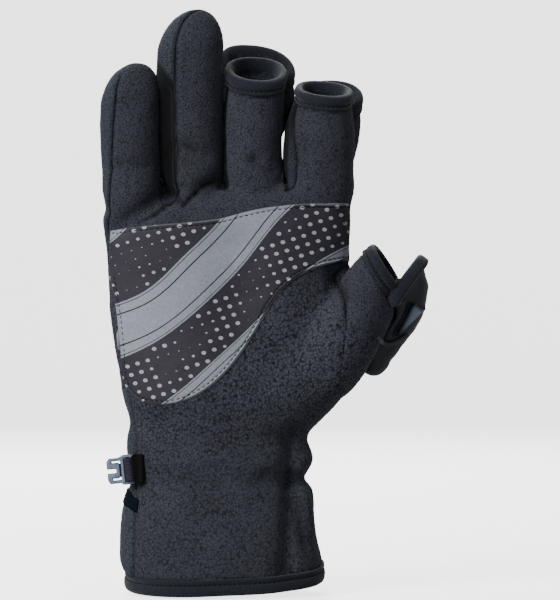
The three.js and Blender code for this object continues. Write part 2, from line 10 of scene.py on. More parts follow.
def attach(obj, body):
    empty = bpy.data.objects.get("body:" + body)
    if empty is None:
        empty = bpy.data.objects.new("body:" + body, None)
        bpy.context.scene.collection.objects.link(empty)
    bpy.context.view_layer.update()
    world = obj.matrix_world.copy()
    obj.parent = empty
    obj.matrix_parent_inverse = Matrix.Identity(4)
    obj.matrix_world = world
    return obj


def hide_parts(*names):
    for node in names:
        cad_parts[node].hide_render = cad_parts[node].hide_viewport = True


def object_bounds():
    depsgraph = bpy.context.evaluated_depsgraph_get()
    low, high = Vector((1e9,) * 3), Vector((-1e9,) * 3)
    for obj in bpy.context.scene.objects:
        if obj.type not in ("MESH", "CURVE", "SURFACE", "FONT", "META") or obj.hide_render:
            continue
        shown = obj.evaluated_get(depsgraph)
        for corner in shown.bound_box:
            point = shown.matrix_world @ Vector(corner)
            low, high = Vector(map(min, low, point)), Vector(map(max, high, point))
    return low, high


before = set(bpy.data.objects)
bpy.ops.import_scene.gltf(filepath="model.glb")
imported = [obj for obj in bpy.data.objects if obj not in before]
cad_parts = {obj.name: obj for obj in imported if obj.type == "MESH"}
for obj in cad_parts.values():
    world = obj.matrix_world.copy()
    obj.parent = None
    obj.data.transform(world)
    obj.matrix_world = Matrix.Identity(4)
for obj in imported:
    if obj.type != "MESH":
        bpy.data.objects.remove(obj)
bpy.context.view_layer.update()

# THE FLEECE OF THE HAND. Stretch fleece, about 2 mm thick, cut as a palm side that runs up the fronts
# of the fingers, a back side and the thumb's own tube. The pieces are sewn edge to edge from inside,
# so each seam is a shallow groove with the cloth standing up a little on both sides of it.
MM = 0.001
CUFF_MIDDLE = np.array([-1.0, 0.0, 6.0])  # the middle of the cuff's mouth in the tables, in mm
FLEECE_THICKNESS = 2.0 * MM
VOXEL = 0.9 * MM
HEM_TILT_ACROSS = 0.04
HEM_TILT_DEEP = 0.13
HEM_TILT_FADE = 50.0
HEM = 10.7

# height, middle across, half width, depth to the palm, depth to the back, slant across
HAND = [
    (10.7, 0.3, 40.3, 25.6, 25.1, 0),
    (17.0, -1.4, 41.1, 26.0, 25.5, 0),
    (25.0, -2.4, 40.4, 25.5, 25.0, 0),
    (36.0, -2.5, 39.3, 23.5, 23.5, 0),
    (44.0, -1.6, 37.8, 21.8, 22.2, 0),
    (49.0, -2.6, 35.8, 20.6, 21.4, 0),
    (57.0, -1.4, 38.2, 21.6, 21.8, 0),
    (66.0, -2.6, 36.9, 21.2, 21.2, 0),
    (73.0, 0.8, 39.0, 22.0, 20.6, 0),
    (82.0, 3.6, 44.6, 23.4, 20.2, 0),
    (94.0, 5.4, 48.2, 23.0, 19.6, 0),
    (108.0, 4.0, 49.5, 20.6, 19.0, 0),
    (124.0, 2.6, 49.7, 18.4, 18.6, 0),
    (140.0, 1.6, 49.5, 17.4, 18.2, 0),
    (153.0, 1.3, 50.4, 16.8, 17.4, 0.04),
    (161.0, 1.1, 50.4, 14.8, 15.6, 0.08),
    (167.0, 1.4, 47.6, 9.5, 10.5, 0.1),
]
# middle (x, y, z), half width, depth to the palm, depth to the back, slant across, slant deep
LITTLE_FINGER = [
    (-34.8, -0.5, 150, 10.0, 9.5, 9.5, 0, 0),
    (-36.9, -1.0, 165, 12.4, 12.6, 12.2, 0, 0),
    (-38.0, -1.5, 177, 12.2, 11.9, 11.9, 0, 0),
    (-38.5, -2.2, 190, 12.2, 12.0, 11.8, 0, 0),
    (-38.3, -3.0, 203, 12.3, 11.6, 11.4, 0, 0),
]
LITTLE_TIP = (-35.4, -4.2, 219.2)
RING_FINGER = [
    (-12.8, 0.2, 152, 11.0, 11.0, 11.0, 0, 0),
    (-12.95, 0.0, 169, 12.4, 13.2, 12.6, 0, 0),
    (-13.6, -0.2, 182, 13.5, 12.2, 12.4, 0, 0),
    (-13.65, -0.8, 196, 13.5, 13.0, 12.4, 0, 0),
    (-14.2, -1.6, 210, 13.9, 12.8, 12.4, 0, 0),
    (-13.7, -2.6, 223.5, 13.4, 12.4, 12.0, 0, 0),
]
RING_TIP = (-10.4, -4.2, 240.9)
MIDDLE_FINGER = [
    (13.0, 0.3, 152, 10.6, 11.0, 11.0, 0, 0),
    (12.6, 0.2, 170, 12.9, 12.8, 12.4, 0, 0),
    (11.5, 0.0, 182, 12.0, 11.8, 12.0, 0, 0.1),
    (11.8, -0.4, 196, 12.3, 12.0, 11.8, 0, 0.25),
    (13.2, -1.0, 213, 12.0, 11.4, 11.4, 0, 0.48),
]
INDEX_FINGER = [
    (38.2, -0.4, 150, 10.0, 9.4, 9.4, 0, 0),
    (38.9, -0.8, 166, 13.9, 12.8, 12.4, 0, 0),
    (38.7, -1.0, 178, 14.5, 12.4, 12.2, 0, 0.05),
    (39.4, -1.4, 192, 14.2, 12.2, 12.0, 0, 0.15),
    (40.8, -2.0, 205, 11.4, 11.2, 11.2, 0, 0.3),
]
THUMB = [
    (31.0, -3.5, 86, 13.0, 15.5, 13.0, 0, 0),
    (40.5, -6.5, 96, 15.8, 16.5, 14.0, 0, 0),
    (49.0, -10.0, 107, 14.8, 15.0, 14.0, 0, 0),
    (57.0, -13.0, 121, 13.0, 13.2, 13.2, 0, 0),
    (63.6, -16.0, 134, 10.3, 11.4, 11.4, 0, 0),
]
THUMB_FACES = {4: (0.84, -0.14, 0.53)}
SQUARE_HAND = 2.5
SQUARE_FINGER = 2.2
HAND_SIDES = 120
HAND_STEPS = 8
FINGER_SIDES = 48
FINGER_STEPS = 10
DOME_RINGS = 14
PAST_THE_CUT = 4.0  # how far an open finger's skin goes on past its mouth, in mm
BELOW_THE_HEM = 6.0  # and the hand's below its hem

# from (x, z), to (x, z), depth, reach, face: -1 is the palm's side and 1 the back
FOLDS = [
    ((-44, 151), (-24.5, 163), 2.2, 3.2, -1),
    ((-21, 165), (-2, 170), 2.0, 3.0, -1),
    ((-20, 184.5), (-7, 181), 1.0, 2.6, -1),
    ((-23.2, 168), (-23.2, 206), 2.4, 2.6, -1),
    ((-16.5, 165), (-13.5, 168), -1.0, 2.2, -1),
    ((13, 178), (27, 171), 1.2, 3.6, -1),
    ((4, 140), (10, 104), 2.4, 15, -1),
    ((40, 128), (20, 92), 1.0, 7, -1),
    ((46, 134), (49, 118), 2.2, 3.6, -1),
    ((28.4, 68), (26.5, 14), 3.2, 3.6, -1),
    ((31.2, 53), (36.4, 28), -2.0, 1.7, -1),
    ((29.4, 50), (34.2, 24), 1.0, 2.2, -1),
    ((18, 50), (38, 47), 1.4, 4.2, -1),
    ((-34, 52), (34, 50), 1.2, 6, 1),
    # narrow creases and seams that only the finished cloth shows
    ((-34.5, 153.5), (-27.9, 157), 0.9, 1.2, -1),
    ((-27.9, 157), (-24, 160.7), 1.4, 1.0, -1),
    ((-24, 160.7), (-18.6, 163.2), 1.4, 1.0, -1),
    ((-18.6, 163.2), (-16.1, 161.1), 1.2, 1.0, -1),
    ((-16.1, 161.1), (-11, 165.3), 1.4, 1.0, -1),
    ((-11, 165.3), (-7, 168.7), 1.2, 1.0, -1),
    ((-7, 168.7), (-3, 171.2), 1.4, 1.0, -1),
    ((-18.8, 186), (-11, 182.4), 0.9, 1.1, -1),
    ((-42, 177.5), (-31, 176), 0.7, 1.6, -1),
    ((12.8, 179.6), (20.9, 175.1), 0.9, 1.7, -1),
    ((48, 131), (49.6, 122), 1.1, 1.3, -1),
    ((43.5, 130), (44.5, 117), 0.6, 1.6, -1),
    ((-46, 176), (-38, 172), 0.5, 1.6, -1),
    ((-8, 196), (-2, 193), 0.5, 1.6, -1),
    ((31, 183), (50, 180), 0.4, 2.0, -1),
    ((30, 172), (44, 168), 0.4, 1.8, -1),
    ((20, 66), (33, 61), 0.7, 2.4, -1),
    ((24, 56), (33, 60), 0.5, 2.0, -1),
    ((-36, 62), (-20, 58), 0.4, 3.0, -1),
    ((30, 40), (34, 20), 0.6, 2.2, -1),
    ((20, 30), (23, 14), 0.4, 3.0, -1),
]


def unit(vectors):
    """The same directions with a length of one."""
    return vectors / np.maximum(np.linalg.norm(vectors, axis=-1, keepdims=True), 1e-9)


def with_facing(rows, faces=()):
    """The rows with the way that each section looks, which is along the finger unless faces says."""
    rows = np.array(rows, float)
    ahead = np.gradient(rows[:, :3], axis=0)
    for k in faces:
        ahead[k] = faces[k]
    return np.hstack([rows, unit(ahead)])


def smooth_run(rows, steps):
    """A smooth run of rows through the given ones, with that many steps in each gap."""
    ends = np.vstack([2 * rows[0] - rows[1], rows, 2 * rows[-1] - rows[-2]])
    run = []
    for k in range(len(rows) - 1):
        a, b, c, d = ends[k : k + 4]
        for t in np.arange(steps) / steps:
            bend = (2 * a - 5 * b + 4 * c - d) * t**2 + (3 * b - 3 * c + d - a) * t**3
            run.append(0.5 * (2 * b + (c - a) * t + bend))
    return np.array(run + [rows[-1]])


def section_axes(row):
    """The ways that a section looks, goes across and goes deep."""
    facing = unit(row[8:11])
    across = unit(np.cross((0.0, 1.0, 0.0), facing))
    return facing, across, np.cross(facing, across)


def ring(row, sides, square, grow=0.0):
    """The outline of one section as points."""
    facing, across, deep = section_axes(row)
    turn = 2 * math.pi * np.arange(sides) / sides
    c, s = np.cos(turn), np.sin(turn)
    a = np.sign(c) * np.abs(c) ** (2 / square) * (row[3] + grow)
    b = np.sign(s) * np.abs(s) ** (2 / square) * (np.where(s < 0, row[4], row[5]) + grow)
    rise = row[6] * a + row[7] * b
    return row[:3] + np.outer(a, across) + np.outer(b, deep) + np.outer(rise, facing)


def domed(last, tip, sides):
    """Rings from a finger's last section to just short of its rounded tip."""
    rings = []
    for turn in np.linspace(0, math.pi / 2, DOME_RINGS + 1)[1:-1]:
        row = last.copy()
        row[:3] += (tip - last[:3]) * math.sin(turn)
        row[6:8] = 0
        rings.append(row[:3] + (ring(row, sides, SQUARE_FINGER) - row[:3]) * math.cos(turn))
    return rings


def tube(rings, start=None, end=None):
    """Points and faces of a skin over the rings, closed to a point at each end that has one."""
    sides = len(rings[0])
    points = np.vstack(rings)
    faces = []
    for r in range(len(rings) - 1):
        for i in range(sides):
            here, beside = r * sides + i, r * sides + (i + 1) % sides
            faces.append((here, beside, beside + sides, here + sides))
    for point, r in ((start, 0), (end, len(rings) - 1)):
        if point is None:
            continue
        points = np.vstack([points, point])
        for i in range(sides):
            here, beside = r * sides + i, r * sides + (i + 1) % sides
            fan = (beside, here, len(points) - 1)
            faces.append(fan if r == 0 else fan[::-1])
    return points, faces


def closed_tube(rings):
    """A tube with both its ends closed."""
    return tube(rings, rings[0].mean(axis=0), rings[-1].mean(axis=0))


def made(name, points, faces):
    """A smooth-shaded object from points in the tables' millimetres."""
    mesh = bpy.data.meshes.new(name)
    mesh.from_pydata([tuple(p) for p in (points - CUFF_MIDDLE) * MM], [], [tuple(f) for f in faces])
    mesh.polygons.foreach_set("use_smooth", [True] * len(mesh.polygons))
    mesh.update()
    piece = bpy.data.objects.new(name, mesh)
    bpy.context.scene.collection.objects.link(piece)
    return piece


def points_of(piece):
    """A piece's points in the tables' millimetres."""
    flat = np.empty(len(piece.data.vertices) * 3)
    piece.data.vertices.foreach_get("co", flat)
    return flat.reshape(-1, 3) / MM + CUFF_MIDDLE


def picked(*pieces):
    """Selects these pieces alone, with the last one active."""
    bpy.ops.object.select_all(action="DESELECT")
    for piece in pieces:
        piece.select_set(True)
    bpy.context.view_layer.objects.active = pieces[-1]


def finished(piece, kind, **settings):
    """Adds a modifier and applies it."""
    picked(piece)
    modifier = piece.modifiers.new(kind.lower(), kind)
    for name, value in settings.items():
        setattr(modifier, name, value)
    bpy.ops.object.modifier_apply(modifier=modifier.name)


def joined(parts):
    """Several sets of points and faces as one."""
    points, faces = [], []
    for part_points, part_faces in parts:
        start = sum(len(p) for p in points)
        points.append(part_points)
        faces += [tuple(k + start for k in face) for face in part_faces]
    return np.vstack(points), faces


def hand_rows(rows):
    """The hand's table in the columns of a finger's, with the hem's tilt."""
    full = []
    for z, x, width, palm, back, slant in rows:
        share = max(0.0, 1 - (z - HEM) / HEM_TILT_FADE)
        across = slant + HEM_TILT_ACROSS * share
        full.append((x, 0, z, width, palm, back, across, HEM_TILT_DEEP * share, 0, 0, 1))
    return np.array(full, float)


FINGER_ROOTS = 165.0
FINGERS_FREE = 176.0


def ramp(value, start, full):
    """Goes from 0 at start to 1 at full and beyond."""
    return np.clip((value - start) / (full - start), 0, 1)


def apart(z):
    """How far up from their roots the fingers are, from 0 to 1."""
    t = ramp(z, FINGER_ROOTS, FINGERS_FREE)
    return t * t * (3 - 2 * t)


def finger_skin(rows, tip=None, faces=(), shift=0.0):
    """A closed skin over a finger that is moved aside by shift from its root up."""
    run = smooth_run(with_facing(rows, faces), FINGER_STEPS)
    rings = [ring(row, FINGER_SIDES, SQUARE_FINGER) for row in run]
    if tip is None:
        rings.append(rings[-1] + PAST_THE_CUT * run[-1][8:11])
        tip = rings[-1].mean(axis=0)
    else:
        rings += domed(run[-1], tip, FINGER_SIDES)
    points, skin = tube(rings, rings[0].mean(axis=0), tip)
    points[:, 0] += shift * apart(points[:, 2])
    return points, skin


# The fingers nearly touch, so they are spread before the skins are fused and brought back after.
SPREAD = 3.0
CROTCH_HEIGHTS = [150, 160, 166, 178, 204, 224]
CROTCHES = [
    [-24.6, -24.6, -25.1, -26.1, -26.6, -27.3],
    [-0.2, -0.2, -0.2, -0.25, -0.1, 0.5],
    [25.1, 25.1, 24.8, 24.2, 26.0, 26.6],
]
hand = hand_rows(HAND)
below = hand[0].copy()
below[2] -= BELOW_THE_HEM
hand_run = smooth_run(np.vstack([below, hand]), HAND_STEPS)
skins = [closed_tube([ring(row, HAND_SIDES, SQUARE_HAND) for row in hand_run])]
for rows, tip, shift in [
    (LITTLE_FINGER, LITTLE_TIP, -1.5),
    (RING_FINGER, RING_TIP, -0.5),
    (MIDDLE_FINGER, None, 0.5),
    (INDEX_FINGER, None, 1.5),
]:
    skins.append(finger_skin(rows, tip, shift=shift * SPREAD))
skins.append(finger_skin(THUMB, faces=THUMB_FACES))
fused = made("fused_skin", *joined(skins))
finished(fused, "REMESH", mode="VOXEL", voxel_size=VOXEL)
finished(fused, "SMOOTH", factor=0.5, iterations=9)

cloth = points_of(fused)
count = len(cloth)
corners = np.empty(len(fused.data.loops), int)
fused.data.loops.foreach_get("vertex_index", corners)
quads = corners.reshape(-1, 4)
bpy.data.objects.remove(fused)
lift = apart(cloth[:, 2])
finger = np.zeros(count, int)
for k, across in enumerate(CROTCHES):
    edge = np.interp(cloth[:, 2], CROTCH_HEIGHTS, across) + (k - 1) * SPREAD * lift
    finger += cloth[:, 0] > edge
cloth[:, 0] -= (finger - 1.5) * SPREAD * lift


def cut_along(points, faces, field):
    """Slides the points beside the line where field changes sign onto it, and splits faces across it."""
    values = field(points)
    ends = np.vstack([faces[:, [0, 1]], faces[:, [1, 2]], faces[:, [2, 3]], faces[:, [3, 0]]])
    ends = ends[values[ends[:, 0]] * values[ends[:, 1]] < 0]
    va, vb = values[ends[:, 0]], values[ends[:, 1]]
    crossing = points[ends[:, 0]] + (va / (va - vb))[:, None] * (points[ends[:, 1]] - points[ends[:, 0]])
    mover = np.where(np.abs(va) < np.abs(vb), ends[:, 0], ends[:, 1])
    total = np.zeros_like(points)
    times = np.zeros(len(points))
    np.add.at(total, mover, crossing)
    np.add.at(times, mover, 1)
    moved = times > 0
    points[moved] = total[moved] / times[moved, None]
    values[moved] = 0
    sides = values[faces]
    mixed = (sides.min(axis=1) < 0) & (sides.max(axis=1) > 0)
    split = []
    for face, side in zip(faces[mixed], sides[mixed]):
        k = 0 if side[0] == 0 else 1
        a, b, c, d = np.roll(face, -k)
        split += [(a, b, c, c), (c, d, a, a)]
    faces = np.vstack([faces[~mixed], np.array(split, int).reshape(-1, 4)])
    return faces, values


def trimmed(points, faces, field):
    """The faces that are left when the cloth where field is above zero is cut away."""
    faces, values = cut_along(points, faces, field)
    return faces[values[faces].sum(axis=1) < 0]


def mouth_plane(row):
    """A point on the plane of an open end and the way out of it."""
    facing, across, deep = section_axes(row)
    return row[:3], unit(facing - row[6] * across - row[7] * deep)


middle_end = with_facing(MIDDLE_FINGER)[-1]
index_end = with_facing(INDEX_FINGER)[-1]
thumb_end = with_facing(THUMB, THUMB_FACES)[-1]
# each open end and the part of the cloth that it cuts: lowest, highest, left, right
MOUTHS = [
    (middle_end, 195, 260, 0.2, 26.6),
    (index_end, 190, 260, 26.6, 90),
    (thumb_end, 0, 152, 53.6, 90),
]
FAR_INSIDE = -50.0
past_mouth = np.full(count, FAR_INSIDE)
for row, low, high, left, right in MOUTHS:
    at, out = mouth_plane(row)

    def beyond(p):
        near = (p[:, 2] > low) & (p[:, 2] < high) & (p[:, 0] > left) & (p[:, 0] < right)
        return np.where(near, (p - at) @ out, FAR_INSIDE)

    quads = trimmed(cloth, quads, beyond)
    past_mouth = np.maximum(past_mouth, beyond(cloth))
hem_at, hem_down = mouth_plane(hand[0])
quads = trimmed(cloth, quads, lambda p: (hem_at - p) @ hem_down)
past_mouth = np.maximum(past_mouth, (hem_at - cloth) @ hem_down)

# The thumb's own cloth lies beyond this line, and the palm's cloth lies in front of the side seam.
THUMB_SEAM_X = [47.0, 47.0, 48.6, 49.8, 48.2, 46.4, 46.4, 49.8, 53.4, 53.4]
THUMB_SEAM_Z = [60, 88, 100, 112, 120, 126, 132, 136, 139, 152]
SIDE_SEAM_FRONTS = [
    [-6, -9.8, -12.5, -14.7, -19.4, -17],
    [-8, -8, -15.8, -16.2, -18.8, -20.2],
    [-8, -8, -7, -6, -6, -6],
    [-8, -8, -11, -14.5, -8.5, -8],
]
SIDE_SEAM_BACK = 1.5
SIDE_SEAM_LEFT = -50.5
SIDE_SEAM_RIGHT = 52
# Below the fingers the little finger's side seam comes forward to this line on the palm's side.
LOW_SEAM_Z = [10, 40, 66, 82, 94, 108, 124, 140, 150]
LOW_SEAM_X = [-36.3, -35.6, -35.2, -37.8, -41.0, -44.3, -46.6, -47.4, -47.8]


def beyond_thumb_seam(p):
    inside = p[:, 0] - np.interp(p[:, 2], THUMB_SEAM_Z, THUMB_SEAM_X)
    return np.where((p[:, 2] > THUMB_SEAM_Z[0]) & (p[:, 2] < THUMB_SEAM_Z[-1]), inside, -20.0)


def behind_side_seam(p):
    starts = [np.full(len(p), float(SIDE_SEAM_LEFT))]
    starts += [np.interp(p[:, 2], CROTCH_HEIGHTS, across) for across in CROTCHES]
    starts.append(np.full(len(p), float(SIDE_SEAM_RIGHT)))
    fronts = [np.interp(p[:, 2], CROTCH_HEIGHTS, front) for front in SIDE_SEAM_FRONTS]
    seam = np.where(p[:, 0] < starts[0], fronts[0], SIDE_SEAM_BACK)
    for left, right, front in zip(starts[:-1], starts[1:], fronts):
        along = (p[:, 0] - left) / (right - left)
        sloped = front + (SIDE_SEAM_BACK - front) * along
        seam = np.where((p[:, 0] >= left) & (p[:, 0] < right), sloped, seam)
    low_left = (p[:, 2] < LOW_SEAM_Z[-1]) & (p[:, 0] < -20) & (p[:, 1] < 0)
    return np.where(low_left, np.interp(p[:, 2], LOW_SEAM_Z, LOW_SEAM_X) - p[:, 0], p[:, 1] - seam)


quads, thumb_side = cut_along(cloth, quads, beyond_thumb_seam)
quads, back_side = cut_along(cloth, quads, behind_side_seam)
of_thumb = thumb_side[quads].sum(axis=1) > 0
of_back = ~of_thumb & (back_side[quads].sum(axis=1) > 0)
of_palm = ~of_thumb & ~of_back

# The cloth's relief: folds, seam grooves, the ridge that the turned edge makes below each binding,
# slack in the cloth, and the nap.
side_a = cloth[quads[:, 2]] - cloth[quads[:, 0]]
side_b = cloth[quads[:, 3]] - cloth[quads[:, 1]]
face_normals = np.cross(side_a, side_b)
outward = np.zeros_like(cloth)
for k in range(4):
    np.add.at(outward, quads[:, k], face_normals)
outward = unit(outward)


def hill(distance, height, middle, width):
    """A rounded ridge of this height across a distance."""
    return height * np.exp(-(((distance - middle) / width) ** 2))


def from_line(flat, start, end):
    """How far points of the front view are from the straight line between two of them."""
    way = np.subtract(end, start)
    flat = flat - start
    t = np.clip(flat @ way / max(way @ way, 1e-9), 0, 1)
    return np.linalg.norm(flat - t[:, None] * way, axis=1)


def pressed(points, out, folds):
    """How deep the folds press the cloth at these points, in mm."""
    total = np.zeros(len(points))
    for start, end, depth, reach, face in folds:
        distance = from_line(points[:, [0, 2]], start, end)
        total += hill(distance, depth, 0, reach) * np.clip(face * out[:, 1] * 1.6, 0, 1)
    return total


# height, size and start of each set of random swells, in mm
SLACK = [(0.45, 16.0, 0), (0.2, 6.0, 9)]
NAP = [(1.0, 1.5, 0), (0.35, 2.6, 5)]
NAP_HEIGHT = 0.08


def swells(points, sets):
    """How far random swells of these sets stand out at the points."""
    total = np.zeros(len(points))
    for height, size, start in sets:
        total += height * np.array([noise.noise(Vector(p / size + start)) for p in points])
    return total


def slack_and_folds(points, out):
    """How far the cloth stands out from its plain form, in mm: its loose swells less its pressed folds."""
    return swells(points, SLACK) - pressed(points, out, FOLDS)


def whole_faces(squares):
    """The faces as tuples, with those that name a corner twice made triangles."""
    faces = [tuple(dict.fromkeys(face)) for face in squares.tolist()]
    return [face for face in faces if len(face) > 2]


# the columns of cloth as views, so that they follow it when its relief is pressed in
x, y, z = cloth.T
# The nap is worn coarse on the palm: up to WORN_TOP, and on the thumb's side up to a slope. It is
# less coarse at the cuff and on the back.
WORN_TOP = 158
WORN_FADE = 40
THUMB_SIDE = 44
THUMB_WORN_TOP = 128
THUMB_WORN_SLOPE = 0.9
THUMB_WORN_FADE = 14
CUFF_FADE = (55, 85)
CUFF_COARSE = 0.45
slope = THUMB_WORN_TOP - THUMB_WORN_SLOPE * (x - THUMB_SIDE)
worn_edge = np.where(x > THUMB_SIDE, slope, WORN_TOP)
coarse = ramp(z, worn_edge, worn_edge - np.where(x > THUMB_SIDE, THUMB_WORN_FADE, WORN_FADE))
coarse *= CUFF_COARSE + (1 - CUFF_COARSE) * ramp(z, *CUFF_FADE)
coarse *= np.clip(0.6 - 1.5 * outward[:, 1], 0.3, 1)
relief = slack_and_folds(cloth, outward) + NAP_HEIGHT * swells(cloth, NAP) * (1 + 0.8 * coarse)
FAR_FROM_SEAM = 9
# height, distance from the seam or the edge, width, in mm
SEAM_RIDGE = (0.22, 2.2, 1.2)
SEAM_GROOVE = (0.55, 0, 0.8)
MOUTH_GROOVE = (0.35, -2.5, 0.5)
thumb_seam = beyond_thumb_seam(cloth)
thumb_seam = np.where(thumb_seam > -19, np.abs(thumb_seam), FAR_FROM_SEAM)
side_seam = np.abs(behind_side_seam(cloth)) / (np.abs(outward[:, 1]) * 0.5 + 0.6)
side_seam = np.where(thumb_side > 0, FAR_FROM_SEAM, side_seam)
to_seam = np.minimum(thumb_seam, side_seam)
# the coarse nap covers most of the thumb's seam and half hides the side seam below these heights,
# and the little finger's seam is hidden near its tip
THUMB_SEAM_FADE = (118, 108)
SIDE_SEAM_FADE = (152, 144)
LITTLE_SEAM_FADE = (211, 215)
LITTLE_FINGER_SIDE = -27
thumb_hidden = np.minimum(ramp(z, *THUMB_SEAM_FADE), 0.85)
hidden = np.where(thumb_seam < side_seam, thumb_hidden, 0.5 * ramp(z, *SIDE_SEAM_FADE))
on_little = (x < LITTLE_FINGER_SIDE) & (z > LOW_SEAM_Z[-1])
hidden = np.where(on_little, ramp(z, *LITTLE_SEAM_FADE), hidden)
shown = 1 - hidden * (outward[:, 1] < 0.2)
relief += shown * (hill(to_seam, *SEAM_RIDGE) - hill(to_seam, *SEAM_GROOVE))
relief -= hill(past_mouth, *MOUTH_GROOVE)
cloth += outward * relief[:, None]
cloth_tree = BVHTree.FromPolygons(cloth.tolist(), whole_faces(quads))

# Painted shade that darkens the cloth: in its creases, in its seam grooves and in the stitched groove below
# each binding.
CREASE_REACH = 1.3  # a fold that reaches no further than this, in mm, is a crease
narrow = [fold for fold in FOLDS if fold[3] <= CREASE_REACH]
creases = np.clip(pressed(cloth, outward, narrow), 0, 1) ** 2
groove_and_crease_shade = np.maximum(shown * hill(to_seam, 1, 0, 0.9), 0.8 * creases)
groove_and_crease_shade = np.maximum(groove_and_crease_shade, hill(past_mouth, 1, -2.4, 0.35))

# Painted shade: between the fingers, from the roots up, where the cloth faces the palm's side, it is
# painted near black for the shade that falls there. On the ring finger it ends on a slope, the little
# finger's painted shadow.
BLACK_ROOTS = (161, 165)
BLACK_FACES = (6, 2)
RING_LEFT = -26.1
RING_MIDDLE = -10
BLACK_TOP = 220  # at the ring finger's left
BLACK_SLOPE = 1.3
# over these heights the wider painted shade beside the middle and index crotch goes from weak to full
HALF_SHADED = (183, 197)
between = np.zeros(count)
half_shaded = 0.3 + 0.7 * ramp(z, *HALF_SHADED)
# which crotch, how far to its sides, how black
for k, reach, strength in [(0, 7.5, 1.0), (1, 4.0, 1.0), (2, 6.5, half_shaded), (2, 2.4, 1.0)]:
    from_crotch = np.abs(x - np.interp(z, CROTCH_HEIGHTS, CROTCHES[k]))
    between = np.maximum(between, strength * ramp(from_crotch, reach, reach - 1))
slope = BLACK_TOP - BLACK_SLOPE * (x - RING_LEFT)
between *= ramp(z, *BLACK_ROOTS) * ramp(y, *BLACK_FACES)
between *= np.where(x < RING_MIDDLE, ramp(z, slope, slope - 3), 1)
between *= ramp(behind_side_seam(cloth), -0.16, 0.64)


def colour(hex_value):
    """A colour given as it looks on screen, turned to linear for a shader."""
    parts = [int(hex_value[k : k + 2], 16) / 255 for k in (0, 2, 4)]
    return [p / 12.92 if p < 0.04045 else ((p + 0.055) / 1.055) ** 2.4 for p in parts] + [1]


def node(material, kind, sockets=(), gives=None, **settings):
    """Adds a node and returns its first output in use, or the one named by gives.

    Settings name its properties or input sockets. Sockets, by name or in order, are outputs that
    feed its inputs or values for them.
    """
    new = material.node_tree.nodes.new("ShaderNode" + kind)
    for name, value in settings.items():
        if hasattr(new, name):
            setattr(new, name, value)
        else:
            new.inputs[name.replace("_", " ")].default_value = value
    for socket, value in sockets.items() if isinstance(sockets, dict) else enumerate(sockets):
        if isinstance(value, bpy.types.NodeSocket):
            material.node_tree.links.new(value, new.inputs[socket])
        else:
            new.inputs[socket].default_value = value
    return new.outputs[gives] if gives else next(output for output in new.outputs if output.enabled)


def new_material(name, **settings):
    """A material with its shader's own sockets set."""
    material = bpy.data.materials.new(name)
    material.use_nodes = True
    for socket, value in settings.items():
        material.node_tree.nodes["Principled BSDF"].inputs[socket.replace("_", " ")].default_value = value
    return material


def feed(material, **sources):
    """Links outputs to the sockets of the material's shader."""
    shader = material.node_tree.nodes["Principled BSDF"]
    for socket, source in sources.items():
        material.node_tree.links.new(source, shader.inputs[socket.replace("_", " ")])


def marked(piece, name, values, domain="POINT"):
    """Gives each point or corner of a piece a number that its material reads."""
    piece.data.attributes.new(name, "FLOAT", domain).data.foreach_set("value", values)


# Brushed polyester fleece: a short matted nap that scatters light, so it has a soft bright edge and no
# gloss. The nap lies in clumps, about 0.7 mm across on the fingers and 1.1 mm where the palm is worn.
def fleece_material(name, dark, light):
    material = new_material(
        name,
        Roughness=0.95,
        Specular_IOR_Level=0.2,
        Sheen_Weight=0.08,
        Sheen_Roughness=0.45,
        Sheen_Tint=colour("aab8d0"),
    )
    here = node(material, "TexCoord", gives="Object")
    fine = node(material, "TexVoronoi", [here], Scale=1 / (0.68 * MM), Randomness=0.85)
    flat_nap = node(material, "MapRange", [fine], To_Min=0.2, To_Max=0.92)
    clumps = node(material, "TexVoronoi", [here], Scale=1 / (1.1 * MM), Randomness=0.85)
    coarse = node(material, "Attribute", gives="Fac", attribute_name="coarse")
    worn = node(material, "MapRange", [coarse], To_Min=0.15, To_Max=0.85)
    grain = node(material, "Mix", {"Factor": worn, "A": flat_nap, "B": clumps})
    patches = node(material, "TexNoise", [here], Scale=1 / (18 * MM), Detail=2.0)
    uneven = node(material, "Math", [patches, 0.25, grain], operation="MULTIPLY_ADD")
    spread = node(material, "MapRange", [uneven], From_Min=0.95, From_Max=0.3)
    tone = node(material, "Mix", {"Factor": spread, "A": colour(dark), "B": colour(light)}, data_type="RGBA")
    # Painted shade: the seam and between marks turn the cloth near black in its grooves and creases and
    # between the fingers.
    seam = node(material, "Attribute", gives="Fac", attribute_name="seam")
    shade = node(material, "MapRange", [seam], To_Max=0.8)
    between = node(material, "Attribute", gives="Fac", attribute_name="between")
    darker = node(material, "Math", [shade, between], operation="MAXIMUM")
    shaded = node(material, "Mix", {"Factor": darker, "A": tone, "B": colour("010102")}, data_type="RGBA")
    bump = node(material, "Bump", {"Height": grain}, invert=True, Strength=0.8, Distance=0.5 * MM)
    feed(material, Base_Color=shaded, Normal=bump)
    return material


# The back's cloth is the lighter and bluer of the two.
fleece = fleece_material("brushed_fleece", "0e0e12", "3c3e48")
back_fleece = fleece_material("brushed_fleece_of_the_back", "0e1015", "3a3f49")


def cloth_piece(name, chosen, material):
    """One cut piece of the fleece, with its thickness turned inwards."""
    used, local = np.unique(quads[chosen], return_inverse=True)
    piece = made(name, cloth[used], whole_faces(local.reshape(-1, 4)))
    for attribute, values in (("seam", groove_and_crease_shade), ("coarse", coarse), ("between", between)):
        marked(piece, attribute, values[used])
    finished(piece, "SOLIDIFY", thickness=FLEECE_THICKNESS, offset=-1)
    piece.data.materials.append(material)
    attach(piece, "glove")
    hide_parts(name)


cloth_piece("palm_panel", of_palm, fleece)
cloth_piece("back_panel", of_back, back_fleece)
cloth_piece("thumb_stall", of_thumb, fleece)

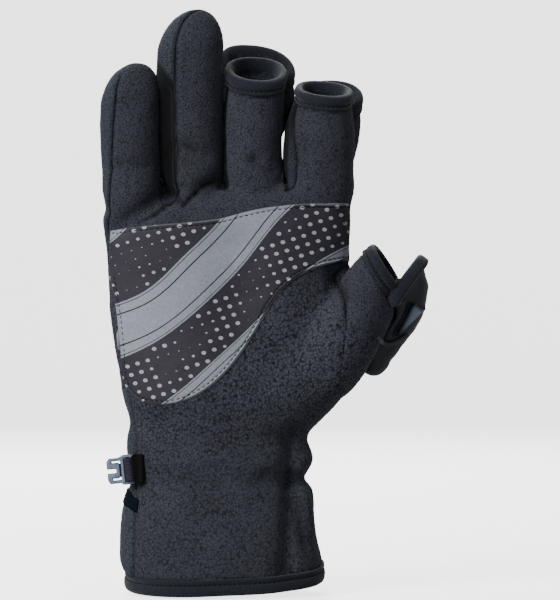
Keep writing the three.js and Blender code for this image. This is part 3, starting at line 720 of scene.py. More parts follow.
# THE PALM PATCH. A printed grip cloth, thin and slightly rubbery, topstitched on the palm over its
# turned-in edge. Its print here is a plain design of wavy bands, contour lines and staggered dots.
PATCH_LEFT = -46.3
PATCH_RIGHT = 50.7
PATCH_STANDS = 0.95
PATCH_THICK = 1.2
PATCH_ROWS = 150
PATCH_SLACK = [(0.16, 9, 0)]
PATCH_EDGE_ROUND = 0.55
PATCH_SEAM_IN = 1.6  # from the patch's edge
PATCH_SWELL = (0.22, 0.9, 0.5)
PATCH_DIP = (0.3, PATCH_SEAM_IN, 0.35)
# its outline in the front view, as Bezier curves of (x, z)
PATCH_TOP = [
    ((-46.3, 150.4), (-28, 153.6), (-10, 153), (2, 156)),
    ((2, 156), (14, 159.6), (24, 161.6), (52, 161.6)),
]
PATCH_BOTTOM = [
    ((-46.3, 132), (-44, 121), (-42, 108), (-41.6, 95)),
    ((-41.6, 95), (-41, 84), (-35, 79.2), (-24, 79.8)),
    ((-24, 79.8), (-2, 81), (11, 105), (18, 118)),
    ((18, 118), (24, 129), (33, 136), (50.8, 138.2)),
]


def curve_points(curves, steps=60):
    """Points along a chain of Bezier curves."""
    t = np.linspace(0, 1, steps)[:, None]
    parts = []
    for a, b, c, d in curves:
        a, b, c, d = map(np.array, (a, b, c, d))
        parts.append((1 - t) ** 3 * a + 3 * t * (1 - t) ** 2 * b + 3 * t**2 * (1 - t) * c + t**3 * d)
    return np.vstack(parts)


VIEWED_FROM = -80  # a depth well in front of the whole glove


def seen_from_front(tree, x, z):
    """What the line of sight at x and z meets first: the point and the way out of the surface there."""
    return tree.ray_cast(Vector((x, VIEWED_FROM, z)), Vector((0, 1, 0)))[:2]


def on_cloth(x, z, aside_y):
    """The cloth's face seen from the front, or the nearest of it to aside_y where its side turns away."""
    at = seen_from_front(cloth_tree, x, z)[0]
    if at is None or at.y > aside_y:
        at = cloth_tree.find_nearest(Vector((x, aside_y, z)))[0]
    return at


def smoothed(grid, times):
    """A grid of points with its small bumps taken out, its border left alone."""
    for _ in range(times):
        middle = grid[1:-1, 1:-1]
        around = grid[:-2, 1:-1] + grid[2:, 1:-1] + grid[1:-1, :-2] + grid[1:-1, 2:]
        grid = grid.copy()
        grid[1:-1, 1:-1] = 0.5 * middle + 0.125 * around
    return grid


def grid_faces(rows, columns):
    """Faces of a grid that look towards the palm's side when columns run to +X and rows to +Z."""
    k = np.arange(rows * columns).reshape(rows, columns)
    return np.stack([k[:-1, :-1], k[:-1, 1:], k[1:, 1:], k[1:, :-1]], axis=-1).reshape(-1, 4).tolist()


def grid_out(grid):
    """The way out of the cloth at each point of a grid."""
    return unit(np.cross(np.gradient(grid, axis=1), np.gradient(grid, axis=0)))


top_line, bottom_line = curve_points(PATCH_TOP), curve_points(PATCH_BOTTOM)
# the grid's columns lie closer together beside the patch's left and right edges
across = np.interp(np.arange(236), [0, 25, 224, 235], [PATCH_LEFT, -41.4, 48, PATCH_RIGHT])
patch_grid = np.zeros((PATCH_ROWS, len(across), 3))
for j, x in enumerate(across):
    low, high = (np.interp(x, line[:, 0], line[:, 1]) for line in (bottom_line, top_line))
    for i, z in enumerate(np.linspace(low, high, PATCH_ROWS)):
        patch_grid[i, j] = on_cloth(x, z, -4.0)
patch_grid = smoothed(patch_grid, 10)
edge_line = np.vstack([bottom_line, top_line[::-1]])
flat = np.column_stack([np.tile(across, PATCH_ROWS), patch_grid[..., 2].ravel()])
edge_parts = zip(edge_line, np.roll(edge_line, -1, axis=0))
inside = np.minimum.reduce([from_line(flat, start, end) for start, end in edge_parts])
# the turned-in edge rises in a round, swells a little and dips at the stitches
lift_off = PATCH_STANDS - hill(inside, PATCH_STANDS, 0, PATCH_EDGE_ROUND)
lift_off += hill(inside, *PATCH_SWELL) - hill(inside, *PATCH_DIP)
lift_off += swells(np.column_stack([flat, np.full(len(flat), 27)]), PATCH_SLACK)
patch_points = (patch_grid + grid_out(patch_grid) * lift_off.reshape(PATCH_ROWS, -1, 1)).reshape(-1, 3)
patch_faces = grid_faces(PATCH_ROWS, len(across))
patch = made("palm_patch", patch_points, patch_faces)
marked(patch, "from_edge", inside)
finished(patch, "SOLIDIFY", thickness=PATCH_THICK * MM, offset=-1)
patch_tree = BVHTree.FromPolygons(patch_points.tolist(), patch_faces)


def specked(material, grain, dark, light, **detail):
    """The height and the colour of threads or fibres that show as specks of this size in mm."""
    here = node(material, "TexCoord", gives="Object")
    specks = node(material, "TexNoise", [here], Scale=1 / (grain * MM), **detail)
    tone = node(material, "Mix", {"Factor": specks, "A": colour(dark), "B": colour(light)}, data_type="RGBA")
    return specks, tone


# Polyurethane-printed polyester: a matt dark plum ground with a pale grey print that has no gloss.
material = new_material("printed_grip_cloth", Roughness=0.72, Specular_IOR_Level=0.3)
here = node(material, "TexCoord", gives="Object")
level = node(material, "VectorMath", [here, (1, 0, 1)], operation="MULTIPLY")
WAVE_APART = 0.314  # how far apart a wave texture's bands are at a scale of 1


def print_bands(place):
    """The height of the wavy bands at a place on the patch."""
    return node(
        material,
        "TexWave",
        [node(material, "Mapping", [place], Rotation=(0, math.radians(38), 0))],
        gives="Fac",
        bands_direction="Z",
        Scale=WAVE_APART / (44 * MM),
        Distortion=6.5,
        Detail=1.5,
        Detail_Scale=0.9,
        Detail_Roughness=0.5,
    )


bands = print_bands(level)
grey_part = node(material, "Math", [bands, 0.6], operation="GREATER_THAN")
lines = []
for height, width in ((0.86, 0.012), (0.66, 0.01)):
    lines.append(node(material, "Math", [bands, height, width], operation="COMPARE"))
both_lines = node(material, "Math", lines, operation="MAXIMUM")
DOTS_ACROSS = 6.4 * MM
DOTS_UP = 5.12 * MM
DOT_SCALE = (1 / DOTS_ACROSS, 0, 1 / DOTS_UP)
DOT_TURN = (0, math.radians(-24), 0)
DOT_TURN_BACK = (0, math.radians(24), 0)
dots = []
for shift in (0.0, 0.5):
    moved = (shift, 0, shift)
    laid = node(material, "Mapping", [level], Rotation=DOT_TURN, Location=moved, Scale=DOT_SCALE)
    cell = node(material, "VectorMath", [laid], operation="FRACTION")
    centred = node(material, "VectorMath", [cell, (0.5, 0, 0.5)], operation="SUBTRACT")
    reach = node(material, "VectorMath", [centred], operation="LENGTH")
    # each dot is whole or left out, by where its middle lies
    whole = node(material, "VectorMath", [laid], operation="FLOOR")
    middle = node(material, "VectorMath", [whole, (0.5 - shift, 0, 0.5 - shift)], operation="ADD")
    turned_back = node(material, "Mapping", [middle], Rotation=DOT_TURN_BACK)
    place = node(material, "VectorMath", [turned_back, (DOTS_ACROSS, 0, DOTS_UP)], operation="MULTIPLY")
    clear_of_bands = node(material, "Math", [print_bands(place), 0.5], operation="LESS_THAN")
    spots = node(material, "TexNoise", [place], Scale=1 / (24 * MM), Detail=1.0)
    size = node(material, "MapRange", [spots], From_Min=0.38, From_Max=0.52, To_Max=0.15)
    dot_size = node(material, "Math", [size, clear_of_bands], operation="MULTIPLY")
    dots.append(node(material, "Math", [reach, dot_size], operation="LESS_THAN"))
all_dots = node(material, "Math", dots, operation="MAXIMUM")
weave, ground = specked(material, 0.6, "131018", "2b2733", Detail=3.0)
grey = specked(material, 1.1, "5e626b", "8c909a", Detail=4.0, Roughness=0.7)[1]
edge = node(material, "Attribute", gives="Fac", attribute_name="from_edge")
rim = node(material, "MapRange", [edge], From_Min=0.3, From_Max=0.8, To_Min=0.6, To_Max=0.0)
finish = ground
for share, over in (
    (all_dots, colour("8a8c8f")),
    (grey_part, grey),
    (both_lines, colour("141217")),
    (rim, colour("6c6d73")),
):
    finish = node(material, "Mix", {"Factor": share, "A": finish, "B": over}, data_type="RGBA")
bump = node(material, "Bump", {"Height": weave}, Strength=0.35, Distance=0.25 * MM)
feed(material, Base_Color=finish, Normal=bump)
patch.data.materials.append(material)
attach(patch, "glove")
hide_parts("palm_patch")

# THE THREAD. Spun polyester sewing thread, in lockstitch rows through the patch and in a coverstitch
# beside each binding. Each stitch dips into the cloth at both its ends. Spun polyester is matt, and
# here it is nearly black.
thread = new_material("spun_thread", Roughness=0.7, Base_Color=colour("040508"), Specular_IOR_Level=0.2)
STITCH_SHARE = 0.8  # of the pitch is thread on the face, and the rest is under the cloth
STITCH_SIDES = 6
PATCH_PITCH = 2.3


def reaches(line):
    """How far along a line each of its points is."""
    return np.concatenate([[0], np.cumsum(np.linalg.norm(np.diff(line, axis=0), axis=1))])


def along_line(line, reach, at):
    """A line's value at each distance along it."""
    return np.array([np.interp(at, reach, line[:, k]) for k in range(3)]).T


def oval(sides, half_a, half_b):
    """Points round an oval with these two half axes."""
    turn = 2 * math.pi * np.arange(sides)[:, None] / sides
    return np.cos(turn) * half_a + np.sin(turn) * half_b


def stitches(path, out, pitch, radius=0.2):
    """A row of stitches along a path of points, each a short round of thread lying on the cloth."""
    reach = reaches(path)
    parts = []
    for start in np.arange(0, reach[-1] - pitch * 0.5, pitch):
        rings = []
        for t in (0.08, 0.25, 0.5, 0.75, 0.92):
            at, further = along_line(path, reach, start + np.array([t, t + 0.1]) * pitch * STITCH_SHARE)
            up = unit(along_line(out, reach, start + t * pitch * STITCH_SHARE))
            side = unit(np.cross(further - at, up))
            dip = (2 * t - 1) ** 4
            at = at + up * (0.12 - 1.1 * dip) * radius * 2
            rings.append(at + radius * (1 - 0.7 * dip) * oval(STITCH_SIDES, up, side))
        parts.append(closed_tube(rings))
    return parts


def sewn(name, parts):
    """All of a row's stitches as one piece."""
    row = made(name, *joined(parts))
    row.data.materials.append(thread)
    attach(row, "glove")


def inset_line(line, distance):
    """A closed line of the front view moved inwards."""
    way = unit(np.roll(line, -1, axis=0) - np.roll(line, 1, axis=0))
    return line + distance * np.column_stack([-way[:, 1], way[:, 0]])


loop = np.vstack([bottom_line, [[PATCH_RIGHT, 150]], top_line[top_line[:, 0] < PATCH_RIGHT][::-1]])
keep = np.append(True, np.linalg.norm(np.diff(loop, axis=0), axis=1) > 0.3)
path, out = [], []
for x, z in inset_line(loop[keep], PATCH_SEAM_IN):
    at, away = seen_from_front(patch_tree, x, z)
    if at is None:
        at, away = patch_tree.find_nearest(Vector((x, -6, z)))[:2]
    path.append(at)
    out.append(away)
sewn("patch_stitches", stitches(np.array(path), np.array(out), PATCH_PITCH))

# THE BINDINGS. A narrow elastic tape of ribbed knit, folded over each cut edge of the cloth and
# coverstitched through both faces, so the edge is a soft round lip.
# across from the cloth's edge, along from it: the lip, the groove that the stitches pull in, the ridge
TAPE_SECTION = [(-2.6, -0.3), (-1.1, -0.52), (0.1, -0.56), (0.5, -0.5), (0.62, -0.38), (0.5, -0.24)]
TAPE_SECTION += [(0.22, -0.12), (0.28, -0.02), (0.68, 0.1), (0.9, 0.3), (0.92, 0.5), (0.74, 0.74)]
TAPE_SECTION += [(0.3, 0.92), (-0.6, 1.0), (-1.6, 0.98), (-2.4, 0.8), (-2.75, 0.45), (-2.8, 0.05)]
TAPE_SLACK = [(0.08, 4.0, 0)]
COVER_PITCH = 2.0
COVER_RADIUS = 0.24

# Ribbed elastic knit: matt, navy-charcoal, with ribs across the tape. They are drawn 0.9 mm apart,
# coarser than the real ones so that they show.
RIB_SPACING = 0.9
tape = new_material("ribbed_elastic_tape", Roughness=0.88, Specular_IOR_Level=0.25, Sheen_Weight=0.12)
here = node(tape, "TexCoord", gives="Object")
along = node(tape, "Attribute", gives="Fac", attribute_name="along")
turns = node(tape, "Math", [along, 2 * math.pi / RIB_SPACING], operation="MULTIPLY")
wave = node(tape, "Math", [turns], operation="SINE")
fuzz = node(tape, "TexNoise", [here], Scale=1 / (0.7 * MM), Detail=3.0, Roughness=0.65)
height = node(tape, "Math", [wave, 0.11, fuzz], operation="MULTIPLY_ADD")
spread = node(tape, "MapRange", [height], From_Min=0.25, From_Max=0.8)
tone = node(tape, "Mix", {"Factor": spread, "A": colour("020409"), "B": colour("171d2a")}, data_type="RGBA")
bump = node(tape, "Bump", {"Height": height}, Strength=0.8, Distance=0.35 * MM)
feed(tape, Base_Color=tone, Normal=bump)


def looped(points, steps):
    """A smooth closed line through points, with that many steps in each gap, back to its start."""
    return smooth_run(np.vstack([points[-1:], points, points[:2]]), steps)[steps:-steps]


def free_ring(points, sides):
    """A smooth closed line through a few points, in even steps."""
    line = looped(points, 12)
    reach = reaches(line)
    return along_line(line, reach, np.arange(sides) / sides * reach[-1])


CLOTH_SEARCH = 6.0
DRAWN_FROM = 3.2
DRAWN_FULLY = 1.6


def kept_clear(points, gap, drawn):
    """The points moved out of the hand's cloth, and the near ones drawn to it as far as drawn says."""
    points = points.copy()
    for k, (p, share) in enumerate(zip(points, np.broadcast_to(drawn, len(points)))):
        near, normal, _, _ = cloth_tree.find_nearest(Vector(p), CLOTH_SEARCH)
        if near is None:
            continue
        above = (Vector(p) - near).dot(normal)
        if above < gap:
            points[k] += np.array(normal) * (gap - above)
        elif above < DRAWN_FROM:
            share = share * ramp(above, DRAWN_FROM, DRAWN_FULLY)
            points[k] -= np.array(normal) * (above - gap) * share
    return points


def binding(name, row, square, sides, height, onward, mouth=None):
    """A tape over the edge at this section, and the line of the stitches beside it."""
    outer = ring(row, sides, square)
    out = outer - ring(row, sides, square, -1.0)
    facing = unit(row[8:11])
    if mouth is not None:
        outer = free_ring(mouth, sides)
        out = np.cross(facing, np.roll(outer, -1, axis=0) - np.roll(outer, 1, axis=0))
    out = unit(out)
    on_a_cap = "cap" in name
    edge = outer + out * slack_and_folds(outer, out)[:, None]
    section = looped(np.array(TAPE_SECTION), 2)[:-1]
    count = len(section)
    stands = 1 + swells(edge, TAPE_SLACK)
    bands = []
    for across, up in section:
        bands.append(edge + out * (across * stands)[:, None] + onward * facing * (up * height + 0.05))
    points = np.stack(bands, axis=1).reshape(-1, 3)
    row_line = edge + out * (0.3 * stands)[:, None] - onward * facing * (0.09 * height)
    if on_a_cap:
        points = kept_clear(points, 0.15, 0.8)
        row_line = kept_clear(row_line, 0.5, 0.8)
    # the tape's length in whole ribs, so that they meet where it closes
    length = reaches(np.vstack([edge, edge[:1]]))
    spans = np.round(length[-1] / RIB_SPACING) * RIB_SPACING / length[-1] * length
    onwards = (onward > 0) == (mouth is None)
    faces, along = [], []
    for i in range(sides):
        start, end = spans[i : i + 2]
        for k in range(count):
            here, above = i * count + k, i * count + (k + 1) % count
            beside, past = (i + 1) % sides * count + k, (i + 1) % sides * count + (k + 1) % count
            faces.append((here, beside, past, above) if onwards else (here, above, past, beside))
            along += [start, end, end, start] if onwards else [start, start, end, end]
    piece = made(name, points, faces)
    marked(piece, "along", along, "CORNER")
    piece.data.materials.append(tape)
    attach(piece, "glove")
    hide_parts(name)
    return np.vstack([row_line, row_line[:1]]), np.vstack([out, out[:1]])


rows_of_stitches = []
for name, row, square, sides, height, onward in [
    ("cuff_binding", hand[0], SQUARE_HAND, 220, 4.4, -1),
    ("middle_mouth_binding", middle_end, SQUARE_FINGER, 90, 3.7, 1),
    ("index_mouth_binding", index_end, SQUARE_FINGER, 90, 3.7, 1),
    ("thumb_mouth_binding", thumb_end, SQUARE_FINGER, 90, 3.7, 1),
]:
    line, out = binding(name, row, square, sides, height, onward)
    rows_of_stitches += stitches(line, out, COVER_PITCH, COVER_RADIUS)
sewn("binding_stitches", rows_of_stitches)

# THE FOLD-BACK CAPS. Each is a soft thimble sewn to the back of its finger, here turned back off the
# fingertip with its mouth up. The middle and index caps are the same fleece as the hand, and the
# thumb's is a smooth softshell.
MIDDLE_CAP = [
    (13.5, 20.4, 217.5, 14.6, 8.6, 8.2, -0.19, -0.95),
    (14.0, 20.4, 205, 15.2, 8.6, 8.2, -0.08, -0.6),
    (12.6, 20.4, 197, 13.3, 8.6, 8.0, 0, -0.2),
    (10.6, 19.8, 188, 11.2, 7.9, 7.2, 0, 0),
]
MIDDLE_CAP_TIP = (11.4, 18.6, 174.0)
INDEX_CAP = [
    (43.5, 19.2, 203.8, 13.0, 8.5, 8.0, 0, -0.85),
    (43.5, 19.2, 195.5, 12.9, 8.5, 8.0, 0, -0.4),
    (42.6, 19.2, 187, 12.6, 8.5, 7.8, 0, 0),
    (41.2, 18.8, 177, 11.0, 7.9, 7.2, 0, 0),
]
INDEX_CAP_TIP = (40.6, 18.4, 164)
THUMB_CAP = [
    (75.6, -8.4, 130.0, 11.4, 7.4, 8.2, 0, 0),
    (75.6, -4.6, 121.6, 8.8, 8.2, 8.2, 0, 0),
    (71.5, 0.8, 114.0, 8.1, 8.2, 8.2, 0, 0),
    (65.6, 4.2, 107.2, 8.3, 7.8, 7.8, 0, 0),
    (61.8, 5.4, 100.6, 7.6, 6.8, 6.8, 0, 0),
]
THUMB_CAP_FACES = {0: (0.78, 0.1, -0.62), 1: (0.5, 0.35, -0.8), 2: (-0.15, 0.45, -0.88)}
THUMB_CAP_TIP = (58.6, 5.4, 91.8)
# the thumb cap's mouth laps over the front of the thumb's own edge
THUMB_CAP_MOUTH = [(70.1, -20.9, 122.2), (71.9, -17.0, 122.8), (73, -12, 124), (72.5, -6, 124.5)]
THUMB_CAP_MOUTH += [(75, -1.5, 128), (78.6, -1.5, 132.6), (80.7, -5, 136.2), (80.8, -12, 136.8)]
THUMB_CAP_MOUTH = np.array(THUMB_CAP_MOUTH + [(77.8, -17.5, 133.2), (73.5, -21.5, 127.6)])
THUMB_CAP_FOLDS = [
    ((76.0, 120.0), (70.6, 108.0), 2.9, 1.6, -1),
    ((73.6, 122.4), (81.6, 118.6), -0.9, 0.9, -1),
    ((66, 101), (72, 104), 0.8, 1.6, -1),
]
CAP_SIDES = 96
CAP_STEPS = 16
CAP_SLACK = [(0.5, 8.0, 3), (0.25, 3.5, 7)]
MOUTH_ROWS = 15  # over which a cap with its own mouth goes over to its plain sections
CAP_RIDGE = (0.15, 2, 1.1)
CAP_GROOVE = (0.4, 0, 0.8)
CAP_DRAWN = (-16, -8)  # from the mouth, where the cap begins to be drawn to the finger


def cap(name, rows, tip, material, slot, wall, faces=(), folds=(), nap_height=0.13, mouth=None):
    """A thimble of cloth that is clear of the finger it lies on, and its mouth's section."""
    table = with_facing(rows, faces)
    run = smooth_run(table, CAP_STEPS)
    rings = [ring(row, CAP_SIDES, SQUARE_FINGER) for row in run]
    if mouth is not None:
        aside = free_ring(mouth, CAP_SIDES) - rings[0]
        for k in range(MOUTH_ROWS):
            rings[k] = rings[k] + aside * (1 - k / MOUTH_ROWS) ** 1.5
    rings += domed(run[-1], tip, CAP_SIDES)
    points, skin = tube(rings, end=tip)
    centre = np.vstack([np.repeat(r.mean(axis=0)[None], CAP_SIDES, 0) for r in rings] + [run[-1:, :3]])
    out = unit(points - centre)
    stands = nap_height * swells(points, NAP) + swells(points, CAP_SLACK)
    side_line = np.abs(points[:, 1] - centre[:, 1]) / 0.9
    stands += hill(side_line, *CAP_RIDGE) - hill(side_line, *CAP_GROOVE)
    stands -= pressed(points, out, folds)
    from_mouth = (points - run[0][:3]) @ unit(run[0][:3] - tip)
    points = kept_clear(points + out * stands[:, None], 0.1, ramp(from_mouth, *CAP_DRAWN))
    piece = made(name, points, skin)
    # painted shade along the groove of the cap's side seam, for a material that reads it
    marked(piece, "seam", hill(side_line, 1, 0, 0.8))
    finished(piece, "SOLIDIFY", thickness=wall * MM, offset=-1)
    piece.data.materials.append(material)
    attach(piece, "glove")
    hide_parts(name)
    return piece, table[0]


cap_fleece = (fleece, "fleece", 2.0)
middle_cap_mouth = cap("middle_cap", MIDDLE_CAP, MIDDLE_CAP_TIP, *cap_fleece)[1]
index_cap_mouth = cap("index_cap", INDEX_CAP, INDEX_CAP_TIP, *cap_fleece)[1]

# Smooth softshell: a close woven face with a faint gloss, and inside the cap a satin lining that
# shows grey-blue where the fold catches the light.
softshell = new_material("smooth_softshell", Roughness=0.5, Specular_IOR_Level=0.4)
weave, tone = specked(softshell, 0.5, "070910", "1b1f2a", Detail=2.0)
# the satin's pale grey-blue is partly its own colour and partly painted highlight where the fold catches the
# light
satin = node(softshell, "Attribute", gives="Fac", attribute_name="satin")
lined = node(softshell, "Mix", {"Factor": satin, "A": tone, "B": colour("6a7789")}, data_type="RGBA")
bump = node(softshell, "Bump", {"Height": weave}, Strength=0.3, Distance=0.2 * MM)
feed(softshell, Base_Color=lined, Normal=bump)
thumb_cap, thumb_cap_mouth = cap(
    "thumb_cap",
    THUMB_CAP,
    THUMB_CAP_TIP,
    softshell,
    "smooth_softshell",
    1.6,
    faces=THUMB_CAP_FACES,
    folds=THUMB_CAP_FOLDS,
    nap_height=0.03,
    mouth=THUMB_CAP_MOUTH,
)
# the satin shows in this triangle of the front view, where the cap folds over; its grey-blue there is partly
# the satin's own colour and partly painted highlight
SATIN_CORNERS = [(77.3, 120.0), (81.0, 117.2), (71.6, 107.9)]
cap_points = points_of(thumb_cap)
x, y, z = cap_points.T
covered = np.ones(len(cap_points))
for (ax, az), (bx, bz) in zip(SATIN_CORNERS, SATIN_CORNERS[1:] + SATIN_CORNERS[:1]):
    beside = ((x - ax) * (bz - az) - (z - az) * (bx - ax)) / math.hypot(bx - ax, bz - az)
    covered = np.minimum(covered, ramp(beside, -0.3, 0.3))
marked(thumb_cap, "satin", covered * (y < 2))

for name, row, mouth in [
    ("middle_cap_binding", middle_cap_mouth, None),
    ("index_cap_binding", index_cap_mouth, None),
    ("thumb_cap_binding", thumb_cap_mouth, THUMB_CAP_MOUTH),
]:
    binding(name, row, SQUARE_FINGER, 90, 3.6, -1, mouth)

# THE KEEPER. A thin flat elastic, 1.8 mm wide, sewn at both its ends between the thumb's cloth and
# its cap. It pulls the cap back.
KEEPER = [(62.4, 107.7), (63.6, 106.3), (65.0, 105.2), (66.8, 104.7)]
KEEPER += [(69.2, 105.1), (72.2, 106.6), (75.2, 108.6)]
KEEPER_HALF_WIDE = 0.9
KEEPER_HALF_THICK = 0.5
KEEPER_SUNK = 0.9  # how far its ends go into the cloth they are sewn to
cap_tree = BVHTree.FromPolygons(cap_points.tolist(), [tuple(f.vertices) for f in thumb_cap.data.polygons])
line = []
for x, z in smooth_run(np.array(KEEPER, float), 5):
    hits = [seen_from_front(tree, x, z)[0] for tree in (cloth_tree, cap_tree)]
    line.append((x, min([hit.y for hit in hits if hit is not None] + [4.0]), z))
line = np.array(line)
for _ in range(6):
    line[1:-1, 1] = np.minimum(line[1:-1, 1], (line[:-2, 1] + line[2:, 1]) / 2)
deep = np.array([0, 1, 0])
rings = []
for k, (at, side) in enumerate(zip(line, unit(np.cross(np.gradient(line, axis=0), deep)))):
    sink = KEEPER_SUNK * max(0, 1 - min(k, len(line) - 1 - k) / 2)
    section = oval(12, KEEPER_HALF_WIDE * side, KEEPER_HALF_THICK * deep)
    rings.append(at + np.array([0, -0.7 + sink, -0.5]) + section)
points, faces = closed_tube(rings)
keeper = made("thumb_keeper", points, [face[::-1] for face in faces])
# Covered elastic: a fine close knit with a faint sheen, dark grey.
keeper.data.materials.append(new_material("flat_elastic", Roughness=0.6, Base_Color=colour("20252d")))
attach(keeper, "glove")
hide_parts("thumb_keeper")

# THE WEBBING LOOP. Flat woven nylon tape, folded once round the hook's bar. Both its ends are sewn
# down to the little finger's side of the cuff, so that it holds the hook and lets it swing.
HOOK_AT = np.array([-37.1, -13.2, 53.6])
HOOK_LEAN = -0.1
WEBBING_THICK = 0.9
WEBBING_ASLANT = 0.08  # how far its sewn ends lean
ROUND_BAR = 2.58
# across, deep, half height: from its sewn end over the front, round the bar and back
LOOP_PATH = [(4.9, -1.6, 5.2), (4.3, -2.5, 5.6), (3.4, -2.3, 5.9), (2.3, -2.1, 6.0), (1.4, -2.2, 6.0)]
LOOP_PATH += [(0.9, -2.3, 5.9), (0.5, -2.42, 5.5), (0.2, -2.5, 5.0), (-0.4, -2.57, 4.8)]
LOOP_PATH += [(ROUND_BAR * math.cos(t), ROUND_BAR * math.sin(t), 4.8) for t in np.linspace(-2.0, -4.7, 11)]
LOOP_PATH += [(1.6, 1.9, 4.7), (3.0, 1.2, 5.0), (4.2, 0.4, 5.0)]


def at_hook(u, y, w):
    """A point given from the hook's bar: across, deep, up."""
    c, s = math.cos(HOOK_LEAN), math.sin(HOOK_LEAN)
    u = u + WEBBING_ASLANT * w * ramp(u, 0, 5)
    return HOOK_AT + np.array([u * c + w * s, y, -u * s + w * c])


path = smooth_run(np.array(LOOP_PATH), 4)
LOOP_SIDE = 25  # points over each face of the tape
rings = []
for (u, y, half), ahead in zip(path, unit(np.gradient(path[:, :2], axis=0))):
    side = np.array([-ahead[1], ahead[0]]) * WEBBING_THICK / 2
    heights = np.linspace(-half, half, LOOP_SIDE)
    front = [at_hook(u + side[0], y + side[1], w) for w in heights]
    rings.append(np.array(front + [at_hook(u - side[0], y - side[1], w) for w in heights[::-1]]))
webbing = made("hook_loop", *closed_tube(rings))
# Painted shade: past the bar, out to its sewn ends, the tape is painted near black for the shade it lies in.
from_bar = np.append(np.repeat(path[:, 0], 2 * LOOP_SIDE), path[[0, -1], 0])
marked(webbing, "painted_shade_past_bar", ramp(from_bar, -1.0, 0.6))
picked(webbing)
bpy.ops.object.mode_set(mode="EDIT")
bpy.ops.mesh.select_all(action="SELECT")
bpy.ops.mesh.normals_make_consistent(inside=False)
bpy.ops.object.mode_set(mode="OBJECT")
# Woven nylon: plum-black, with the cross ribs of a plain weave 0.8 mm apart.
nylon = new_material("woven_webbing", Roughness=0.8, Specular_IOR_Level=0.12, Sheen_Weight=0.04)
here = node(nylon, "TexCoord", gives="Object")
rib_scale = WAVE_APART / (0.8 * MM)
ribs = node(nylon, "TexWave", [here], gives="Fac", bands_direction="Z", Scale=rib_scale, Distortion=1.2)
cross = node(nylon, "TexNoise", [here], Scale=1 / (0.7 * MM), Detail=2.0)
mixed = node(nylon, "Math", [ribs, cross], operation="MULTIPLY")
tone = node(nylon, "Mix", {"Factor": mixed, "A": colour("040306"), "B": colour("4c4258")}, data_type="RGBA")
# painted shade: near black on the tape past the bar
painted_shade_past_bar = node(nylon, "Attribute", gives="Fac", attribute_name="painted_shade_past_bar")
shaded_past_bar = node(nylon, "Mix", {"Factor": painted_shade_past_bar, "A": tone, "B": colour("010101")}, data_type="RGBA")
bump = node(nylon, "Bump", {"Height": mixed}, Strength=0.5, Distance=0.25 * MM)
feed(nylon, Base_Color=shaded_past_bar, Normal=bump)
webbing.data.materials.append(nylon)
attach(webbing, "glove")
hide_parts("hook_loop")

# THE GLOVE HOOK. One flat moulding of glass-filled nylon that swings on its bar in the webbing and
# hooks on its pair's. Its edges are rounded by the mould.
hook = bpy.data.objects.new("slate_hook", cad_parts["glove_hook"].data.copy())
bpy.context.scene.collection.objects.link(hook)
picked(hook)
bpy.ops.object.mode_set(mode="EDIT")
bpy.ops.mesh.select_all(action="SELECT")
bpy.ops.mesh.remove_doubles(threshold=0.00001)
bpy.ops.mesh.dissolve_limited(angle_limit=math.radians(1))
bpy.ops.object.mode_set(mode="OBJECT")
hook.data.materials.clear()
# Glass-filled nylon: slate blue-grey, satin from the mould, with a faint cloudiness from the fibres.
# The rounded edges take a darker copy of it, which is painted shade along them.
for name, dark, light in (("moulded_nylon", "3d4a5b", "76869e"), ("moulded_nylon_edge_shade", "151b24", "262e3a")):
    material = new_material(name, Roughness=0.5, IOR=1.5)
    feed(material, Base_Color=specked(material, 1.6, dark, light, Detail=3.0)[1])
    hook.data.materials.append(material)
EDGE_ROUND = 0.2
STOUTER = 0.1
sharp = {"limit_method": "ANGLE", "angle_limit": math.radians(25)}
# the bevel's faces take the darker copy, painted shade along the edges
finished(hook, "BEVEL", width=EDGE_ROUND * MM, segments=2, material=1, **sharp)
finished(hook, "DISPLACE", strength=STOUTER * MM, mid_level=0)
# A thin web, set back from the front, closes the upright part of the slot. It takes the edges' painted
# shade, for the dark in the slot.
corners = [at_hook(u, y, w) for u in (-5.0, -4.3) for y in (0.3, 0.8) for w in (-2.8, 2.7)]
WEB_FACES = [(0, 1, 3, 2), (4, 6, 7, 5), (0, 4, 5, 1), (2, 3, 7, 6), (0, 2, 6, 4), (1, 5, 7, 3)]
web = made("slot_web", np.array(corners), WEB_FACES)
web.data.materials.append(material)
picked(web, hook)
bpy.ops.object.join()
picked(hook)
bpy.ops.object.shade_smooth_by_angle(angle=math.radians(40))
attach(hook, "hook")
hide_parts("glove_hook")

# THE SIDE TAB. A small flat tab of black woven tape with nothing on it, sewn over the side of the
# cuff below the hook. It lies close on the fleece.
TAB_FRONT = [(-34.1, 41.0), (-34.8, 35.7)]
TAB_SIDE = [(-41.2, -2.0, 46.2), (-42.2, -2.0, 39.2)]
TAB_ROWS = 22
TAB_COLUMNS = 40
TAB_STEP_UP = 0.33
TAB_STEP_ACROSS = 0.35
TAB_STANDS = 0.7
TAB_THICK = 0.9
TAB_BULGE = np.array([-2.0, -4.0, 0.6])
tab_grid = np.zeros((TAB_ROWS, TAB_COLUMNS, 3))
for i, up in enumerate(np.linspace(0, 1, TAB_ROWS)):
    x0, z0 = np.array(TAB_FRONT[0]) * up + np.array(TAB_FRONT[1]) * (1 - up)
    start = np.array(on_cloth(x0, z0, -2.0))
    end = np.array(TAB_SIDE[0]) * up + np.array(TAB_SIDE[1]) * (1 - up)
    for j, share in enumerate(np.linspace(0, 1, TAB_COLUMNS)):
        target = end * (1 - share) + start * share + TAB_BULGE * math.sin(math.pi * share)
        tab_grid[i, j] = cloth_tree.find_nearest(Vector(target))[0]
tab_grid = smoothed(tab_grid, 16)
i, j = np.mgrid[0:TAB_ROWS, 0:TAB_COLUMNS]
